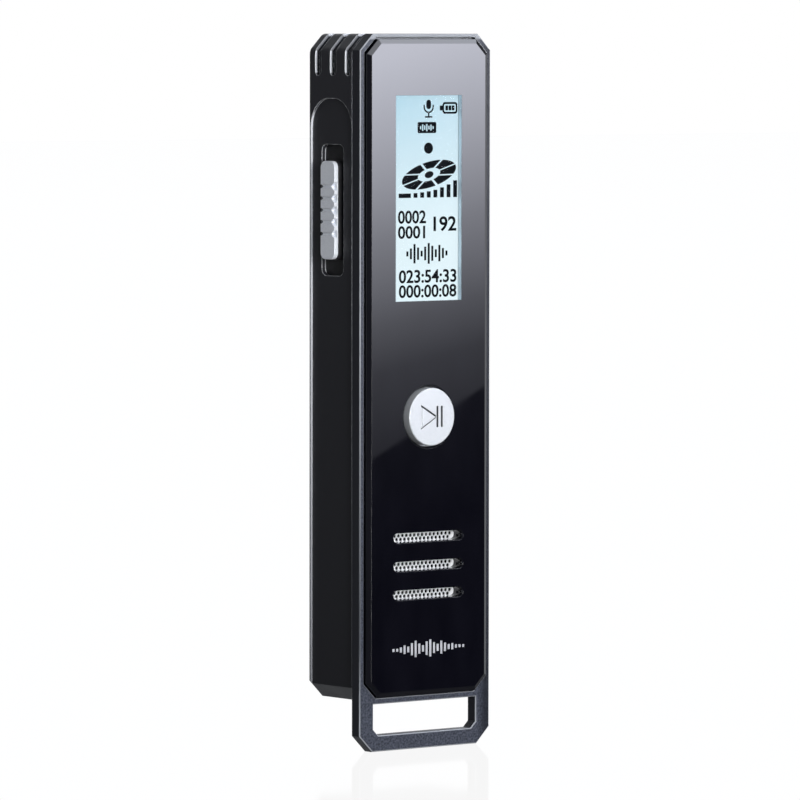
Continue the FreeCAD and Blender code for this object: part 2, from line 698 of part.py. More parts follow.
def speaker_group(front):
    """Dust felt, foam gasket, basket, cone, magnet and leads of the loudspeaker."""
    grille_plate("dust_felt", front, FELT_DEPTH)
    half_x, half_z = SPEAKER_HALF
    low, high = d.slot_middle - half_z, d.slot_middle + half_z
    gasket_y = front + FELT_DEPTH
    basket_y = gasket_y + GASKET_DEPTH
    border = 0.9
    gasket = new_body("speaker_gasket")
    add(gasket, "XZ_Plane", gasket_y, "+Y", GASKET_DEPTH,
        (rectangle, size(-half_x), half_x, low, high),
        (rectangle, size(-half_x + border), half_x - border, low + border, high - border))
    basket = new_body("speaker_basket")
    basket_rear = size(-0.25)
    wall, bowl, magnet_well = 0.6, 0.9, 4.0
    add(basket, "XZ_Plane", basket_y, "+Y", basket_rear - basket_y,
        (rounded, -half_x, half_x, low, high, 1.2))
    cut(basket, "XZ_Plane", basket_y, "+Y", bowl,
        (rounded, -half_x + wall, half_x - wall, low + wall, high - wall, 0.9))
    cut(basket, "XZ_Plane", basket_y + bowl, "+Y", 1.5, (circle, 0, d.slot_middle, magnet_well))
    cone_y = basket_y + 0.35
    edge = wall + 0.05
    diaphragm = new_body("speaker_cone")
    add(diaphragm, "XZ_Plane", cone_y, "+Y", 0.15,
        (rounded, -half_x + edge, half_x - edge, low + edge, high - edge, 0.85))
    add(diaphragm, "XZ_Plane", cone_y, "-Y", 0.25, (circle, 0, d.slot_middle, 2.6))
    magnet = cylinder("speaker_magnet", (size(0), basket_y + 1.1, d.slot_middle), "+Y",
                      magnet_well - 0.1, 1.25)
    keep(magnet)
    leads = [cylinder(f"speaker_lead_{side}", (size(side), size(-2.2), high), "+Z", 0.3,
                      d.board_low - high) for side in (-2, 2)]
    keep(together("speaker_leads", leads))


def microphones():
    """Two capsules under the top grooves, each in a rubber boot."""
    roof = d.body_height - d.shell_wall
    foot = roof - 2.4
    capsule_radius, boot_radius, seat_depth = 1.5, 1.85, 1.9
    for side, name in ((-1, "left"), (1, "right")):
        x = size(side * MIC_X)
        boot = cylinder(f"mic_boot_{name}_body", (x, middle_groove_y, foot), "+Z", boot_radius,
                        roof - foot - CLEAR)
        seat = cylinder(f"mic_boot_{name}_seat", (x, middle_groove_y, foot), "+Z",
                        capsule_radius + CLEAR, seat_depth)
        port = cylinder(f"mic_boot_{name}_port", (x, middle_groove_y, roof - 0.6), "+Z", 0.4, 0.7)
        keep(less(f"mic_boot_{name}", boot, [seat, port]))
        keep(cylinder(f"microphone_{name}", (x, middle_groove_y, foot + 0.2), "+Z",
                      capsule_radius, 1.6))


# ---------------------------------------------------------------- display
def display_group():
    """Display glass, its light guide, the plastic holder and the ribbon to the board."""
    half = d.glass_width / 2
    keep(box("lcd_glass", (-half, half), (glass_front_y, glass_rear_y),
             (d.glass_low, d.glass_high)))
    guide_y = glass_rear_y + CLEAR
    keep(box("lcd_backlight", (-7.0, 7.0), (guide_y, guide_y + 0.95), (62.0, 91.8)))
    outer = box("lcd_holder_outer", (-8.2, 8.2), (guide_y, d.board_front), (61.2, 94.2))
    inner = box("lcd_holder_inner", (-7.05, 7.05), (guide_y - 1, d.board_front + 1), (61.95, 91.85))
    keep(less("lcd_holder", outer, [inner]))
    ribbon = new_body("lcd_flex")
    thick = 0.12
    near = glass_rear_y + thick
    board = d.board_front
    add(ribbon, "YZ_Plane", -5.0, "+X", 10.0,
        (polygon, [(glass_rear_y, 61.1), (glass_rear_y, 58.2), (board - thick, 56.6),
                   (board - thick, 54.6), (board, 54.6), (board, 56.7), (near, 58.3),
                   (near, 61.1)]))


# ---------------------------------------------------------------- play button
def play_button():
    """Turned play button: spun face with an engraved symbol, retaining flange and nub."""
    body = new_body("play_button")
    z = d.button_middle
    flange_y = panel_rear_y + 0.07
    flange_depth, flange_reach, nub_radius = 0.5, 0.7, 1.15
    add(body, "XZ_Plane", button_y, "+Y", flange_y - button_y, (circle, 0, z, d.button_radius))
    face = button_y.number
    soften(body, "Fillet", 0.14, lambda edge: lies_at(edge, "Y", face))
    add(body, "XZ_Plane", flange_y, "+Y", flange_depth, (circle, 0, z, d.button_radius + flange_reach))
    nub_y = flange_y + flange_depth
    add(body, "XZ_Plane", nub_y, "+Y", size(PLUNGER_Y) - nub_y, (circle, 0, z, nub_radius))
    half, blunt, left, tip = 1.74, 0.2, size(-1.96), size(0.70)
    stroke, lead = 0.24, 0.42
    cut(body, "XZ_Plane", button_y, "+Y", d.symbol_depth,
        (polygon, [(left, z - half), (tip, z - blunt), (tip, z + blunt), (left, z + half)]),
        (polygon, [(left + stroke, z - half + lead), (tip - stroke, z),
                   (left + stroke, z + half - lead)]))
    bar_half, bar_width = 1.5, 0.36
    bars = [(rounded, size(x), size(x + bar_width), z - bar_half, z + bar_half, 0.12)
            for x in (0.80, 1.58)]
    cut(body, "XZ_Plane", button_y, "+Y", d.symbol_depth, *bars)


def play_switch():
    """Tact switch under the play button: its base on the board and its plunger."""
    z = d.button_middle
    front = d.board_front - 0.55
    base = box("play_switch_block", (-2.6, 2.6), (front, d.board_front), (z - 2.6, z + 2.6))
    well = cylinder("play_switch_well", (size(0), front, z), "+Y", 1.25, 0.5)
    keep(less("play_switch_base", base, [well]))
    keep(cylinder("play_switch_plunger", (size(0), size(PLUNGER_Y), z), "+Y", 1.0, 0.36))


# ---------------------------------------------------------------- record slider
def slider_knob():
    """Bright knob cap with five thumb notches, bonded to the slider's block."""
    body = new_body("rec_slider_knob")
    outer_x = -half_width - d.knob_proud
    low_z = d.slider_middle - d.knob_length / 2
    high_z = d.slider_middle + d.knob_length / 2
    front, back = slider_y - d.knob_width / 2, slider_y + d.knob_width / 2
    add(body, "YZ_Plane", outer_x, "+X", d.knob_cap,
        (rounded, front, back, low_z, high_z, d.knob_round))
    face = outer_x.number
    soften(body, "Fillet", 0.1, lambda edge: lies_at(edge, "X", face))
    first = d.slider_middle - d.notch_pitch * 2
    mouth, nick_bite, nick_mouth, tip, reach = 0.74, 0.35, 0.44, 0.08, 0.2
    inner = front + d.notch_bite
    notches = cut(body, "YZ_Plane", outer_x, "+X", d.notch_depth,
                  (polygon, [(front - reach, first - mouth), (inner, first - tip),
                             (inner, first + tip), (front - reach, first + mouth)]),
                  (polygon, [(back + reach, first - nick_mouth), (back + reach, first + nick_mouth),
                             (back - nick_bite, first + tip), (back - nick_bite, first - tip)]))
    channel_depth, channel_half = 0.16, 0.24
    channel = cut(body, "YZ_Plane", outer_x, "+X", channel_depth,
                  (rectangle, front, back, first - channel_half, first + channel_half))
    repeat(body, [notches, channel], "Z_Axis", d.notch_pitch, 5)


def slider_carrier():
    """Black carrier: the block in the slot, the plate that covers it and the switch fork."""
    body = new_body("rec_slider_carrier")
    cap_x = -half_width - d.knob_proud + d.knob_cap
    plate_x = -inner_side_x + 0.05
    z = d.slider_middle
    border, corner = 0.12, 1.0
    half_y, half_z = d.knob_width / 2 + border, d.knob_length / 2 + border
    add(body, "YZ_Plane", cap_x, "+X", plate_x - cap_x,
        (rounded, slider_y - half_y, slider_y + half_y, z - half_z, z + half_z, corner))
    cover_y, cover_z = 2.85, 13.1
    add(body, "YZ_Plane", plate_x, "+X", CARRIER_DEPTH,
        (rounded, slider_y - cover_y, slider_y + cover_y, z - cover_z, z + cover_z, corner))
    boss_x, boss_depth = plate_x + CARRIER_DEPTH, 0.5
    add(body, "YZ_Plane", boss_x, "+X", boss_depth,
        (rectangle, slider_y - 1.5, slider_y + 1.5, z - 2, z + 2))
    half_y, half_z = ACTUATOR_HALF
    cut(body, "YZ_Plane", boss_x + boss_depth, "-X", boss_depth + 0.1,
        (rectangle, slider_y - half_y - CLEAR, slider_y + half_y + CLEAR,
         z - half_z - CLEAR, z + half_z + CLEAR))


def record_switch():
    """Slide switch on the board and its actuator, which the carrier's fork moves."""
    z = d.slider_middle
    face = size(-9.0)
    block = box("record_switch_block", (face, -5.0), (board_rear_y, 3.3), (z - 6.1, z + 6.1))
    track_y, track_z = 0.78, 2.95
    track = box("record_switch_track", (face - 1, face + 1.6), (slider_y - track_y, slider_y + track_y),
                (z - track_z, z + track_z))
    keep(less("record_switch_body", block, [track]))
    half_y, half_z = ACTUATOR_HALF
    keep(box("record_switch_actuator", (-9.75, -7.5), (slider_y - half_y, slider_y + half_y),
             (z - half_z, z + half_z)))


# ---------------------------------------------------------------- side keys
def side_key(name, z):
    """One side key: moulded cap with a retaining flange, and the plunger behind it."""
    body = new_body(f"{name}_key")
    outer_x = recessed_x + d.key_proud
    flange_x = inner_side_x - 0.05
    y = d.key_depth_pos
    add(body, "YZ_Plane", outer_x, "-X", outer_x - flange_x,
        stadium_z(y, z, d.key_width, d.key_length))
    face = outer_x.number
    soften(body, "Fillet", 0.25, lambda edge: lies_at(edge, "X", face))
    flange_depth, switch_x = 0.55, 8.6
    add(body, "YZ_Plane", flange_x, "-X", flange_depth,
        stadium_z(y, z, d.key_width + 1, d.key_length + 1))
    engraved_symbol(body, name, outer_x, y, z)
    plunger_x = flange_x - flange_depth
    keep(cylinder(f"{name}_plunger", (plunger_x, y, size(z)), "-X", 0.6, plunger_x - switch_x))


def engraved_symbol(body, name, outer_x, y, z):
    """Engrave the key's mark: plus, minus, or a skip arrow with its bar."""
    deep = 0.07
    along, across = 0.75, 0.11
    z = size(z)
    if name.startswith("volume"):
        strokes = [(rectangle, y - across, y + across, z - along, z + along)]
        if name == "volume_up":
            strokes = [(polygon, [
                (y - across, z - along), (y + across, z - along), (y + across, z - across),
                (y + along, z - across), (y + along, z + across), (y + across, z + across),
                (y + across, z + along), (y - across, z + along), (y - across, z + across),
                (y - along, z + across), (y - along, z - across), (y - across, z - across)])]
    else:
        ahead = 1 if name == "next" else -1
        tip, foot = z + 0.55 * ahead, z - 0.65 * ahead
        strokes = [(polygon, [(y - 0.6, foot), (y + 0.6, foot), (y, tip)]),
                   (rectangle, y - 0.6, y + 0.6, tip + 0.12 * ahead, tip + 0.32 * ahead)]
    cut(body, "YZ_Plane", outer_x, "-X", deep, *strokes)


def key_switches():
    """Side-push switches on the board's edge, one behind each key."""
    blocks = []
    for name, z in KEYS:
        block = box(f"{name}_switch_block", (7.6, 9.0), (board_rear_y, d.key_depth_pos + 1.1),
                    (z - 2.25, z + 2.25))
        well = cylinder(f"{name}_switch_well", (size(9.0), d.key_depth_pos, size(z)), "-X",
                        0.75, 1.0)
        blocks.append(less(f"{name}_switch", block, [well]))
    keep(together("key_switches", blocks))


# ---------------------------------------------------------------- electronics
def boards():
    """Main board, socket board, their ribbon, and the chips on the main board."""
    board = new_body("main_board")
    add(board, "XZ_Plane", d.board_front, "+Y", d.board_depth,
        (octagon, d.board_half, d.board_low, d.board_high, 3.0))
    keep(box("usb_board", (-7.2, 7.2), (0.1, 0.9), (d.shell_bottom + 1.4, 20.0)))
    ribbon = new_body("board_flex")
    rear = board_rear_y
    add(ribbon, "YZ_Plane", -3.5, "+X", 7.0,
        (polygon, [(rear, 36.5), (rear, 34.0), (-0.02, 32.4), (-0.02, 16.2), (0.1, 16.2),
                   (0.1, 32.5), (rear + 0.12, 34.1), (rear + 0.12, 36.5)]))
    chips = [("processor_chip", 0.0, 60.5, 7.0, 7.0, 0.9), ("memory_chip", 0.0, 42.5, 12.0, 8.0, 1.0),
             ("audio_codec", -1.0, 82.5, 4.0, 4.0, 0.8), ("crystal", 3.2, 82.5, 2.5, 3.2, 0.7)]
    for label, x, z, wide, tall, thick in chips:
        keep(box(label, (x - wide / 2, x + wide / 2), (rear, rear + thick),
                 (z - tall / 2, z + tall / 2)))
    resistors = []
    for row in range(6):
        for side in (-7.5, 6.3):
            z = 38.0 + row * 4.6
            resistors.append(box(f"resistor_{row}_{side > 0:d}", (side, side + 1.2),
                                 (rear, rear + 0.5), (z, z + 0.6)))
    keep(together("resistors", resistors))


def power():
    """Pouch battery, the foam tape behind it, its plug and its two leads."""
    y = (d.battery_front, d.battery_front + d.battery_depth)
    top = 66.8
    pouch = new_body("battery")
    add(pouch, "XY_Plane", 21.5, "+Z", top - 21.5, (rounded, -7.35, 7.35, y[0], y[1], 0.8))
    keep(box("battery_tape", (-5.0, 5.0), (y[1], inner_rear_y), (28.0, 60.0)))
    keep(box("battery_plug", (-2.2, 2.2), (board_rear_y, 1.6), (68.4, 71.6)))
    leads = [cylinder(f"battery_lead_{index}", (size(x), size(0.9), size(top)), "+Z", 0.35,
                      68.4 - top) for index, x in enumerate((-1.0, 1.0))]
    keep(together("battery_leads", leads))


def headphone_socket():
    """Headphone socket with its nose in the top wall, and its spring contacts."""
    roof = d.body_height - d.shell_wall
    y = d.jack_depth_pos
    mouth = d.body_height - 0.1
    block_top = roof - CLEAR
    body = box("jack_block", (-3.2, 3.2), (board_rear_y, y + 2.7), (87.0, block_top))
    nose = cylinder("jack_nose", (size(0), y, block_top), "+Z", 2.6, mouth - block_top)
    bore = cylinder("jack_bore_tool", (size(0), y, mouth - d.jack_length), "+Z", d.jack_bore,
                    d.jack_length)
    keep(less("headphone_jack", union("jack_whole", [body, nose]), [bore]))
    springs = [box(f"jack_spring_{index}", (3.2, 3.45), (y - 0.6, y + 0.6), (z, z + 1.6))
               for index, z in enumerate((88.5, 91.5, 94.5))]
    keep(together("jack_contacts", springs))


def charging_socket():
    """Micro socket at the lower end: metal shell and the tongue inside it."""
    y = d.usb_depth_pos
    low, high = d.shell_bottom + 0.35, d.shell_bottom + 5.5
    outer = box("usb_shell_outer", (-3.75, 3.75), (y - 1.3, y + 1.3), (low, high))
    wall_end = high - 0.5
    inner = box("usb_shell_inner", (-3.5, 3.5), (y - 1.05, y + 1.05), (low - 1, wall_end))
    keep(less("usb_socket", outer, [inner]))
    keep(box("usb_tongue", (-2.1, 2.1), (y - 0.75, y - 0.2), (low + 0.5, wall_end)))


def case_screws():
    """Four countersunk case screws with cross recesses."""
    screws = []
    sunk = rear_y - 0.06
    head_radius, head_depth, shank_length = 1.42, 0.6, 5.8
    for index, (x, z) in enumerate(post_places()):
        head = cone(f"screw_head_{index}", (x, sunk, z), "-Y", head_radius, d.screw_radius, head_depth)
        shank = cylinder(f"screw_shank_{index}", (x, sunk - head_depth, z), "-Y", d.screw_radius,
                         shank_length)
        arms = [box(f"screw_arm_{index}_{turn}", (x - long, x + long), (sunk - 0.35, sunk + 0.1),
                    (z - tall, z + tall))
                for turn, (long, tall) in enumerate(((0.8, 0.16), (0.16, 0.8)))]
        whole = union(f"screw_whole_{index}", [head, shank])
        screws.append(less(f"screw_{index}", whole, arms))
    keep(together("case_screws", screws))


def write_parts():
    """Check every object, then write each piece to its own file."""
    for item in doc.Objects:
        if "Invalid" in item.State or "Error" in item.State:
            raise RuntimeError(f"{item.Label} did not recompute: {item.State}")
    for piece in pieces:
        shape = piece.Shape
        if shape.isNull() or not shape.isValid():
            raise RuntimeError(f"{piece.Label} has no valid shape")
        if not shape.Solids:
            raise RuntimeError(f"{piece.Label} has no solid")
    for piece in pieces:
        piece.Shape.exportStep(f"parts/{piece.Label}.step")
        print(piece.Label, len(piece.Shape.Solids), round(piece.Shape.Volume, 2), piece.Shape.BoundBox)


front_frame()
rear_shell()
front_panel()
display_window()
panel_adhesive()
speaker_group(speaker_mesh())
microphones()
display_group()
play_button()
play_switch()
slider_knob()
slider_carrier()
record_switch()
for key_name, key_z in KEYS:
    side_key(key_name, key_z)
key_switches()
boards()
power()
headphone_socket()
charging_socket()
case_screws()
doc.recompute()
write_parts()
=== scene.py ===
"""A handheld voice recorder on a pale studio floor, in the part's own frame: +Z up along the case, +X to the right of
the display, the display facing -Y. Blender's lengths are metres. Those of the paints and the prints are given in
millimetres, where a comment or a docstring says so."""
import math

import bmesh
import bpy
from mathutils import Matrix, Vector

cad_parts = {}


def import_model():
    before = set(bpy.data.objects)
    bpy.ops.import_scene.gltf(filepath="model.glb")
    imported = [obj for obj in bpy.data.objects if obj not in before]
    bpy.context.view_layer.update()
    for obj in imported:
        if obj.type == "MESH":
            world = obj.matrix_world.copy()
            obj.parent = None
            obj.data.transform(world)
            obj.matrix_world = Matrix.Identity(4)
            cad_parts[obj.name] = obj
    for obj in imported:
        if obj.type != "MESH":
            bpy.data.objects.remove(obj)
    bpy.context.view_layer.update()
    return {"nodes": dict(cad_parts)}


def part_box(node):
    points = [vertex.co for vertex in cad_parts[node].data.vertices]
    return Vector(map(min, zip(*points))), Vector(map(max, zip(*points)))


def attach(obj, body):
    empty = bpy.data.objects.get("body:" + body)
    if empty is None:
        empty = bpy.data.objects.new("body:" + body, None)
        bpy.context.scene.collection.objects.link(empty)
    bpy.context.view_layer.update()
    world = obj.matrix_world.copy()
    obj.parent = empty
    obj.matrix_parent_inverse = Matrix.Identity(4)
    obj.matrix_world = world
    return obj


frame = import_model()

scene = bpy.context.scene
MM = 0.001
WHITE = (1.0, 1.0, 1.0)


def corners(node):
    """A CAD node's lowest and highest corner, in millimetres."""
    low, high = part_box(node)
    return low / MM, high / MM


# ---------------------------------------------------------------- materials

NOISE_SPAN = (0.3, 0.7)     # most of a noise's values lie between these
EDGE_SAMPLES = 6            # rays of the test that finds an edge
EDGE_TURN = (0.985, 0.80)   # cosine of the rounded normal's turn, where an edge begins and where it is full


class Surface:
    """A node material: one Principled shader, and short calls for what feeds it."""

    def __init__(self, name, colour, metallic=0.0, roughness=0.5):
        self.material = bpy.data.materials.new(name)
        self.material.use_nodes = True
        self.tree = self.material.node_tree
        self.shader = self.tree.nodes["Principled BSDF"]
        self.set("Base Color", (*colour, 1.0))
        self.set("Metallic", metallic)
        self.set("Roughness", roughness)
        self.place = self.node("ShaderNodeTexCoord").outputs["Object"]

    def node(self, kind, **settings):
        """A new node with these settings."""
        made = self.tree.nodes.new(kind)
        for key, value in settings.items():
            setattr(made, key, value)
        return made

    def feed(self, socket, value):
        """Links an output to a socket, or writes a plain value into it."""
        if isinstance(value, bpy.types.NodeSocket):
            self.tree.links.new(value, socket)
        else:
            socket.default_value = value

    def set(self, name, value):
        """Feeds one of the shader's inputs, by its name."""
        self.feed(self.shader.inputs[name], value)

    def maths(self, operation, first, second=0.0, third=0.0):
        """What a Math node makes of its inputs."""
        made = self.node("ShaderNodeMath", operation=operation)
        for socket, value in zip(made.inputs, (first, second, third)):
            self.feed(socket, value)
        return made.outputs[0]

    def vector(self, operation, first, second=(0.0, 0.0, 0.0)):
        """What a Vector Math node makes of its inputs."""
        made = self.node("ShaderNodeVectorMath", operation=operation)
        self.feed(made.inputs[0], first)
        self.feed(made.inputs[1], second)
        return made.outputs["Value" if operation in ("LENGTH", "DOT_PRODUCT") else "Vector"]

    def axis(self, name):
        """One coordinate of the shaded point."""
        return self.node_from("ShaderNodeSeparateXYZ", self.place).outputs[name]

    def node_from(self, kind, value):
        """A new node whose first input is fed."""
        made = self.node(kind)
        self.feed(made.inputs[0], value)
        return made

    def noise(self, size, stretch=(1.0, 1.0, 1.0), detail=2.0):
        """Grain whose features are about size millimetres across, longer along a stretched axis."""
        scaled = self.vector("DIVIDE", self.place, tuple(size * MM * s for s in stretch))
        made = self.node("ShaderNodeTexNoise")
        self.feed(made.inputs["Vector"], scaled)
        made.inputs["Scale"].default_value = 1.0
        made.inputs["Detail"].default_value = detail
        return made.outputs["Fac"]

    def band(self, value, low, high, first=0.0, last=1.0):
        """Value between low and high, carried to first and last, and held there outside."""
        made = self.node("ShaderNodeMapRange")
        for name, number in (("From Min", low), ("From Max", high), ("To Min", first), ("To Max", last)):
            made.inputs[name].default_value = number
        self.feed(made.inputs["Value"], value)
        return made.outputs["Result"]

    def mix(self, share, first, second):
        """The first colour where share is 0, the second where it is 1."""
        made = self.node("ShaderNodeMix", data_type="RGBA")
        self.feed(made.inputs["Factor"], share)
        for socket, value in ((made.inputs[6], first), (made.inputs[7], second)):
            self.feed(socket, value if isinstance(value, bpy.types.NodeSocket) else (*value, 1.0))
        return made.outputs[2]

    def facing_front(self, low, high):
        """0 where the face turns less than low towards the display's side, 1 where more than high."""
        turned = self.node_from("ShaderNodeSeparateXYZ",
                                self.node("ShaderNodeNewGeometry").outputs["Normal"]).outputs["Y"]
        return self.band(self.maths("MULTIPLY", turned, -1.0), low, high)

    def within(self, low, high):
        """1 inside a box of the part's frame, in metres, and 0 outside it."""
        inside = 1.0
        for axis, start, end in zip("XYZ", low, high):
            place = self.axis(axis)
            inside = self.maths("MULTIPLY", inside, self.maths("GREATER_THAN", place, start))
            inside = self.maths("MULTIPLY", inside, self.maths("LESS_THAN", place, end))
        return inside

    def edges(self, radius):
        """1 along the edges and 0 on the faces, and the normal rounded by a radius in millimetres."""
        soft = self.node("ShaderNodeBevel", samples=EDGE_SAMPLES)
        soft.inputs["Radius"].default_value = radius * MM
        true = self.node("ShaderNodeNewGeometry").outputs["Normal"]
        turn = self.vector("DOT_PRODUCT", soft.outputs["Normal"], true)
        return self.band(turn, *EDGE_TURN), soft.outputs["Normal"]

    def relief(self, height, depth, normal=None, strength=1.0):
        """Gives the surface a bump of the given depth in millimetres, and returns the surface."""
        made = self.node("ShaderNodeBump")
        made.inputs["Strength"].default_value = strength
        made.inputs["Distance"].default_value = depth * MM
        self.feed(made.inputs["Height"], height)
        if normal is not None:
            self.feed(made.inputs["Normal"], normal)
        self.set("Normal", made.outputs["Normal"])
        return self


PAINT_CLOUD = 4.0       # size of the patches where a paint is slightly smoother or rougher, in millimetres


def satin_paint(name, dark, light, grain, depth, roughness, edge, specular):
    """Sprayed satin paint with a fine mottle: the surface, its colour, and where its edges are worn and take a
    painted highlight. The grain's size, its depth and the edges' radius are in millimetres."""
    made = Surface(name, dark)
    rim, normal = made.edges(edge)
    fleck = made.noise(grain, detail=3.0)
    cloud = made.noise(PAINT_CLOUD)
    base = made.mix(made.band(fleck, 0.38, 0.64), dark, light)
    # Edges partly worn and partly given a painted highlight by the callers' colours.
    edge_wear_and_highlight = made.maths("MULTIPLY", rim, made.band(made.noise(0.5, detail=3.0), 0.35, 0.6, 0.35, 1.0))
    rough = made.maths("ADD", made.band(fleck, *NOISE_SPAN, roughness - 0.05, roughness + 0.07),
                       made.band(cloud, *NOISE_SPAN, -0.03, 0.03))
    made.set("Roughness", rough)
    made.set("Specular IOR Level", specular)
    made.relief(fleck, depth, normal)
    return made, base, edge_wear_and_highlight


# The frame's paint: where one look gives way to the next, in metres.
LOOP_FADE = (5 * MM, 14 * MM)           # heights, from the loop's look to the body's
RIM_HIGHLIGHT_FADE = (20 * MM, 60 * MM)           # heights, from the rims' dim painted highlight to their bright one
RIGHT_SHADE_FADE = (9.5 * MM, 10.8 * MM)      # places across the front, into the painted shade of the right rim
CROWN_HIGHLIGHT_FADE = (0.9 * MM, 0.6 * MM)       # depths under the top, into the painted highlight of its upper edge


def frame_paint():
    """Navy satin paint, with painted shade on its sides and on the right rim. Its edges are partly worn and partly
    lit by a painted highlight; its rounded rims and upper edge carry a painted highlight, weakest low on the body."""
    made, base, worn = satin_paint("frame_satin", (0.024, 0.027, 0.036), (0.066, 0.073, 0.097), grain=0.30,
                                   depth=0.012, roughness=0.40, edge=0.12, specular=0.25)
    side_shade_colour, shade = (0.020, 0.021, 0.027), (0.004, 0.005, 0.008)
    loop_edge_wear_and_highlight, body_edge_wear_and_highlight = (0.34, 0.36, 0.39), (0.13, 0.14, 0.16)
    loop_highlight, low_rim_highlight, high_rim_highlight = (0.30, 0.315, 0.34), (0.07, 0.075, 0.085), (0.36, 0.375, 0.40)
    # Painted shade: faces turned away from the front get a darker colour.
    base = made.mix(made.facing_front(0.2, 0.8), side_shade_colour, base)
    height = made.axis("Z")
    # Painted shade, darkening the rim towards the right.
    right = made.band(made.axis("X"), *RIGHT_SHADE_FADE)
    base = made.mix(made.maths("MULTIPLY", right, 0.8), base, shade)
    above_loop = made.band(height, *LOOP_FADE)
    # The edges are partly worn and partly carry a painted highlight, brighter on the loop.
    base = made.mix(worn, base, made.mix(above_loop, loop_edge_wear_and_highlight, body_edge_wear_and_highlight))
    # Painted highlight: a bright colour on the front-turned part of the rounded rims and on the upper edge,
    # brighter higher up, and brightest on the loop.
    rounded = made.maths("MULTIPLY", made.facing_front(0.35, 0.60), made.facing_front(0.985, 0.90))
    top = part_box("front_frame")[1].z
    crown_highlight = made.maths("MULTIPLY", made.band(height, top - CROWN_HIGHLIGHT_FADE[0], top - CROWN_HIGHLIGHT_FADE[1]),
                       made.facing_front(0.3, 0.9))
    edge_wear_and_highlight = made.maths("MAXIMUM", rounded, made.maths("MULTIPLY", crown_highlight, 0.75))
    painted_rim_highlight = made.mix(made.band(height, *RIM_HIGHLIGHT_FADE), low_rim_highlight, high_rim_highlight)
    painted_rim_highlight = made.mix(above_loop, loop_highlight, painted_rim_highlight)
    made.set("Base Color", made.mix(edge_wear_and_highlight, base, painted_rim_highlight))
    return made


# The shell's cuts. Lengths are in metres.
CASE_CORNER = 2.28 * MM                 # leg of the case's corner chamfers
SKIN_FADE = (0.30 * MM, 0.44 * MM)      # depths under the skin, from a cut's wall with painted light to its unlit part
BEND_SHARE = 0.3                        # how strong the walls' painted light is on the corner chamfers, beside the straight runs
SLOT_FOOT = (0.90 * MM, 1.10 * MM)      # depths under the side, round the foot of the slider slot's wall, which gets painted light too
SLOT_TOP = 90 * MM                      # height under which that foot is looked for


def cut_wall_highlight(made):
    """Where the shell's cuts get painted light on their front-turned walls: near its skin, less on the corner
    chamfers, and at the foot of the slot on the left."""
    low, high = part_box("rear_shell")
    across = made.maths("ABSOLUTE", made.axis("X"))
    side = made.maths("SUBTRACT", high.x, across)
    roof = made.maths("SUBTRACT", high.z, made.axis("Z"))
    bend = made.maths("DIVIDE", made.maths("SUBTRACT", made.maths("ADD", side, roof), CASE_CORNER), math.sqrt(2.0))
    flat = made.maths("MINIMUM", side, roof)
    depth = made.maths("MINIMUM", flat, bend)
    # Painted light on the outer part of each wall, where light from the front reaches.
    skin = made.band(depth, *SKIN_FADE, 1.0, 0.0)
    on_bend = made.maths("LESS_THAN", bend, flat)
    skin = made.maths("MULTIPLY", skin, made.band(on_bend, 0.0, 1.0, 1.0, BEND_SHARE))
    start, end = SLOT_FOOT
    foot = made.maths("MULTIPLY", made.maths("GREATER_THAN", side, start), made.maths("LESS_THAN", side, end))
    foot = made.maths("MULTIPLY", foot, made.maths("LESS_THAN", made.axis("X"), 0.0))
    foot = made.maths("MULTIPLY", foot, made.maths("LESS_THAN", made.axis("Z"), SLOT_TOP))
    return made.maths("MULTIPLY", made.maths("MAXIMUM", skin, foot), made.facing_front(0.80, 0.95))


# The shell's paint: heights between which one look gives way to the next, in metres.
SHELL_LIGHT_FADE = (10 * MM, 100 * MM)        # from the dark foot to the top, which is lighter with painted light
EDGE_HIGHLIGHT_FADE = (30 * MM, 70 * MM)          # from dark edges to edges with a bright painted highlight
TOP_EDGE = (96.5 * MM, 97.5 * MM)       # into the top, whose edges get less of the painted highlight


def shell_paint():
    """Black satin paint with painted light: lighter towards the top, with a painted highlight along its edges that
    grows brighter upwards and weaker on the top, and a painted highlight on the walls of the grooves, the slot and
    the recess."""
    made, base, worn = satin_paint("shell_satin", (0.0075, 0.0075, 0.0105), (0.0150, 0.0155, 0.0200), grain=0.16,
                                   depth=0.008, roughness=0.42, edge=0.18, specular=0.45)
    height = made.axis("Z")
    rise = made.band(height, *SHELL_LIGHT_FADE)
    lit_top_colour = (0.030, 0.030, 0.036)
    low_edge_highlight, high_edge_highlight = (0.02, 0.02, 0.025), (0.95, 0.97, 1.0)
    low_wall_highlight, high_wall_highlight = (0.17, 0.175, 0.19), (0.78, 0.80, 0.84)
    # Painted light: the paint grows lighter towards the top.
    base = made.mix(made.band(rise, 0.0, 1.0, 0.0, 0.6), base, lit_top_colour)
    # Painted highlight along the edges: nearly white high up, fading to dark low down, and weaker on the top.
    worn = made.maths("MULTIPLY", worn, made.band(height, *TOP_EDGE, 1.0, 0.25))
    base = made.mix(worn, base, made.mix(made.band(height, *EDGE_HIGHLIGHT_FADE), low_edge_highlight, high_edge_highlight))
    # Painted highlight on the front-turned walls of the cuts, brighter towards the top.
    wall_highlight_colour = made.mix(rise, low_wall_highlight, high_wall_highlight)
    made.set("Base Color", made.mix(cut_wall_highlight(made), base, wall_highlight_colour))
    return made


WALL_REACH = 0.05       # how far beyond the display window its opening's walls are looked for, in millimetres


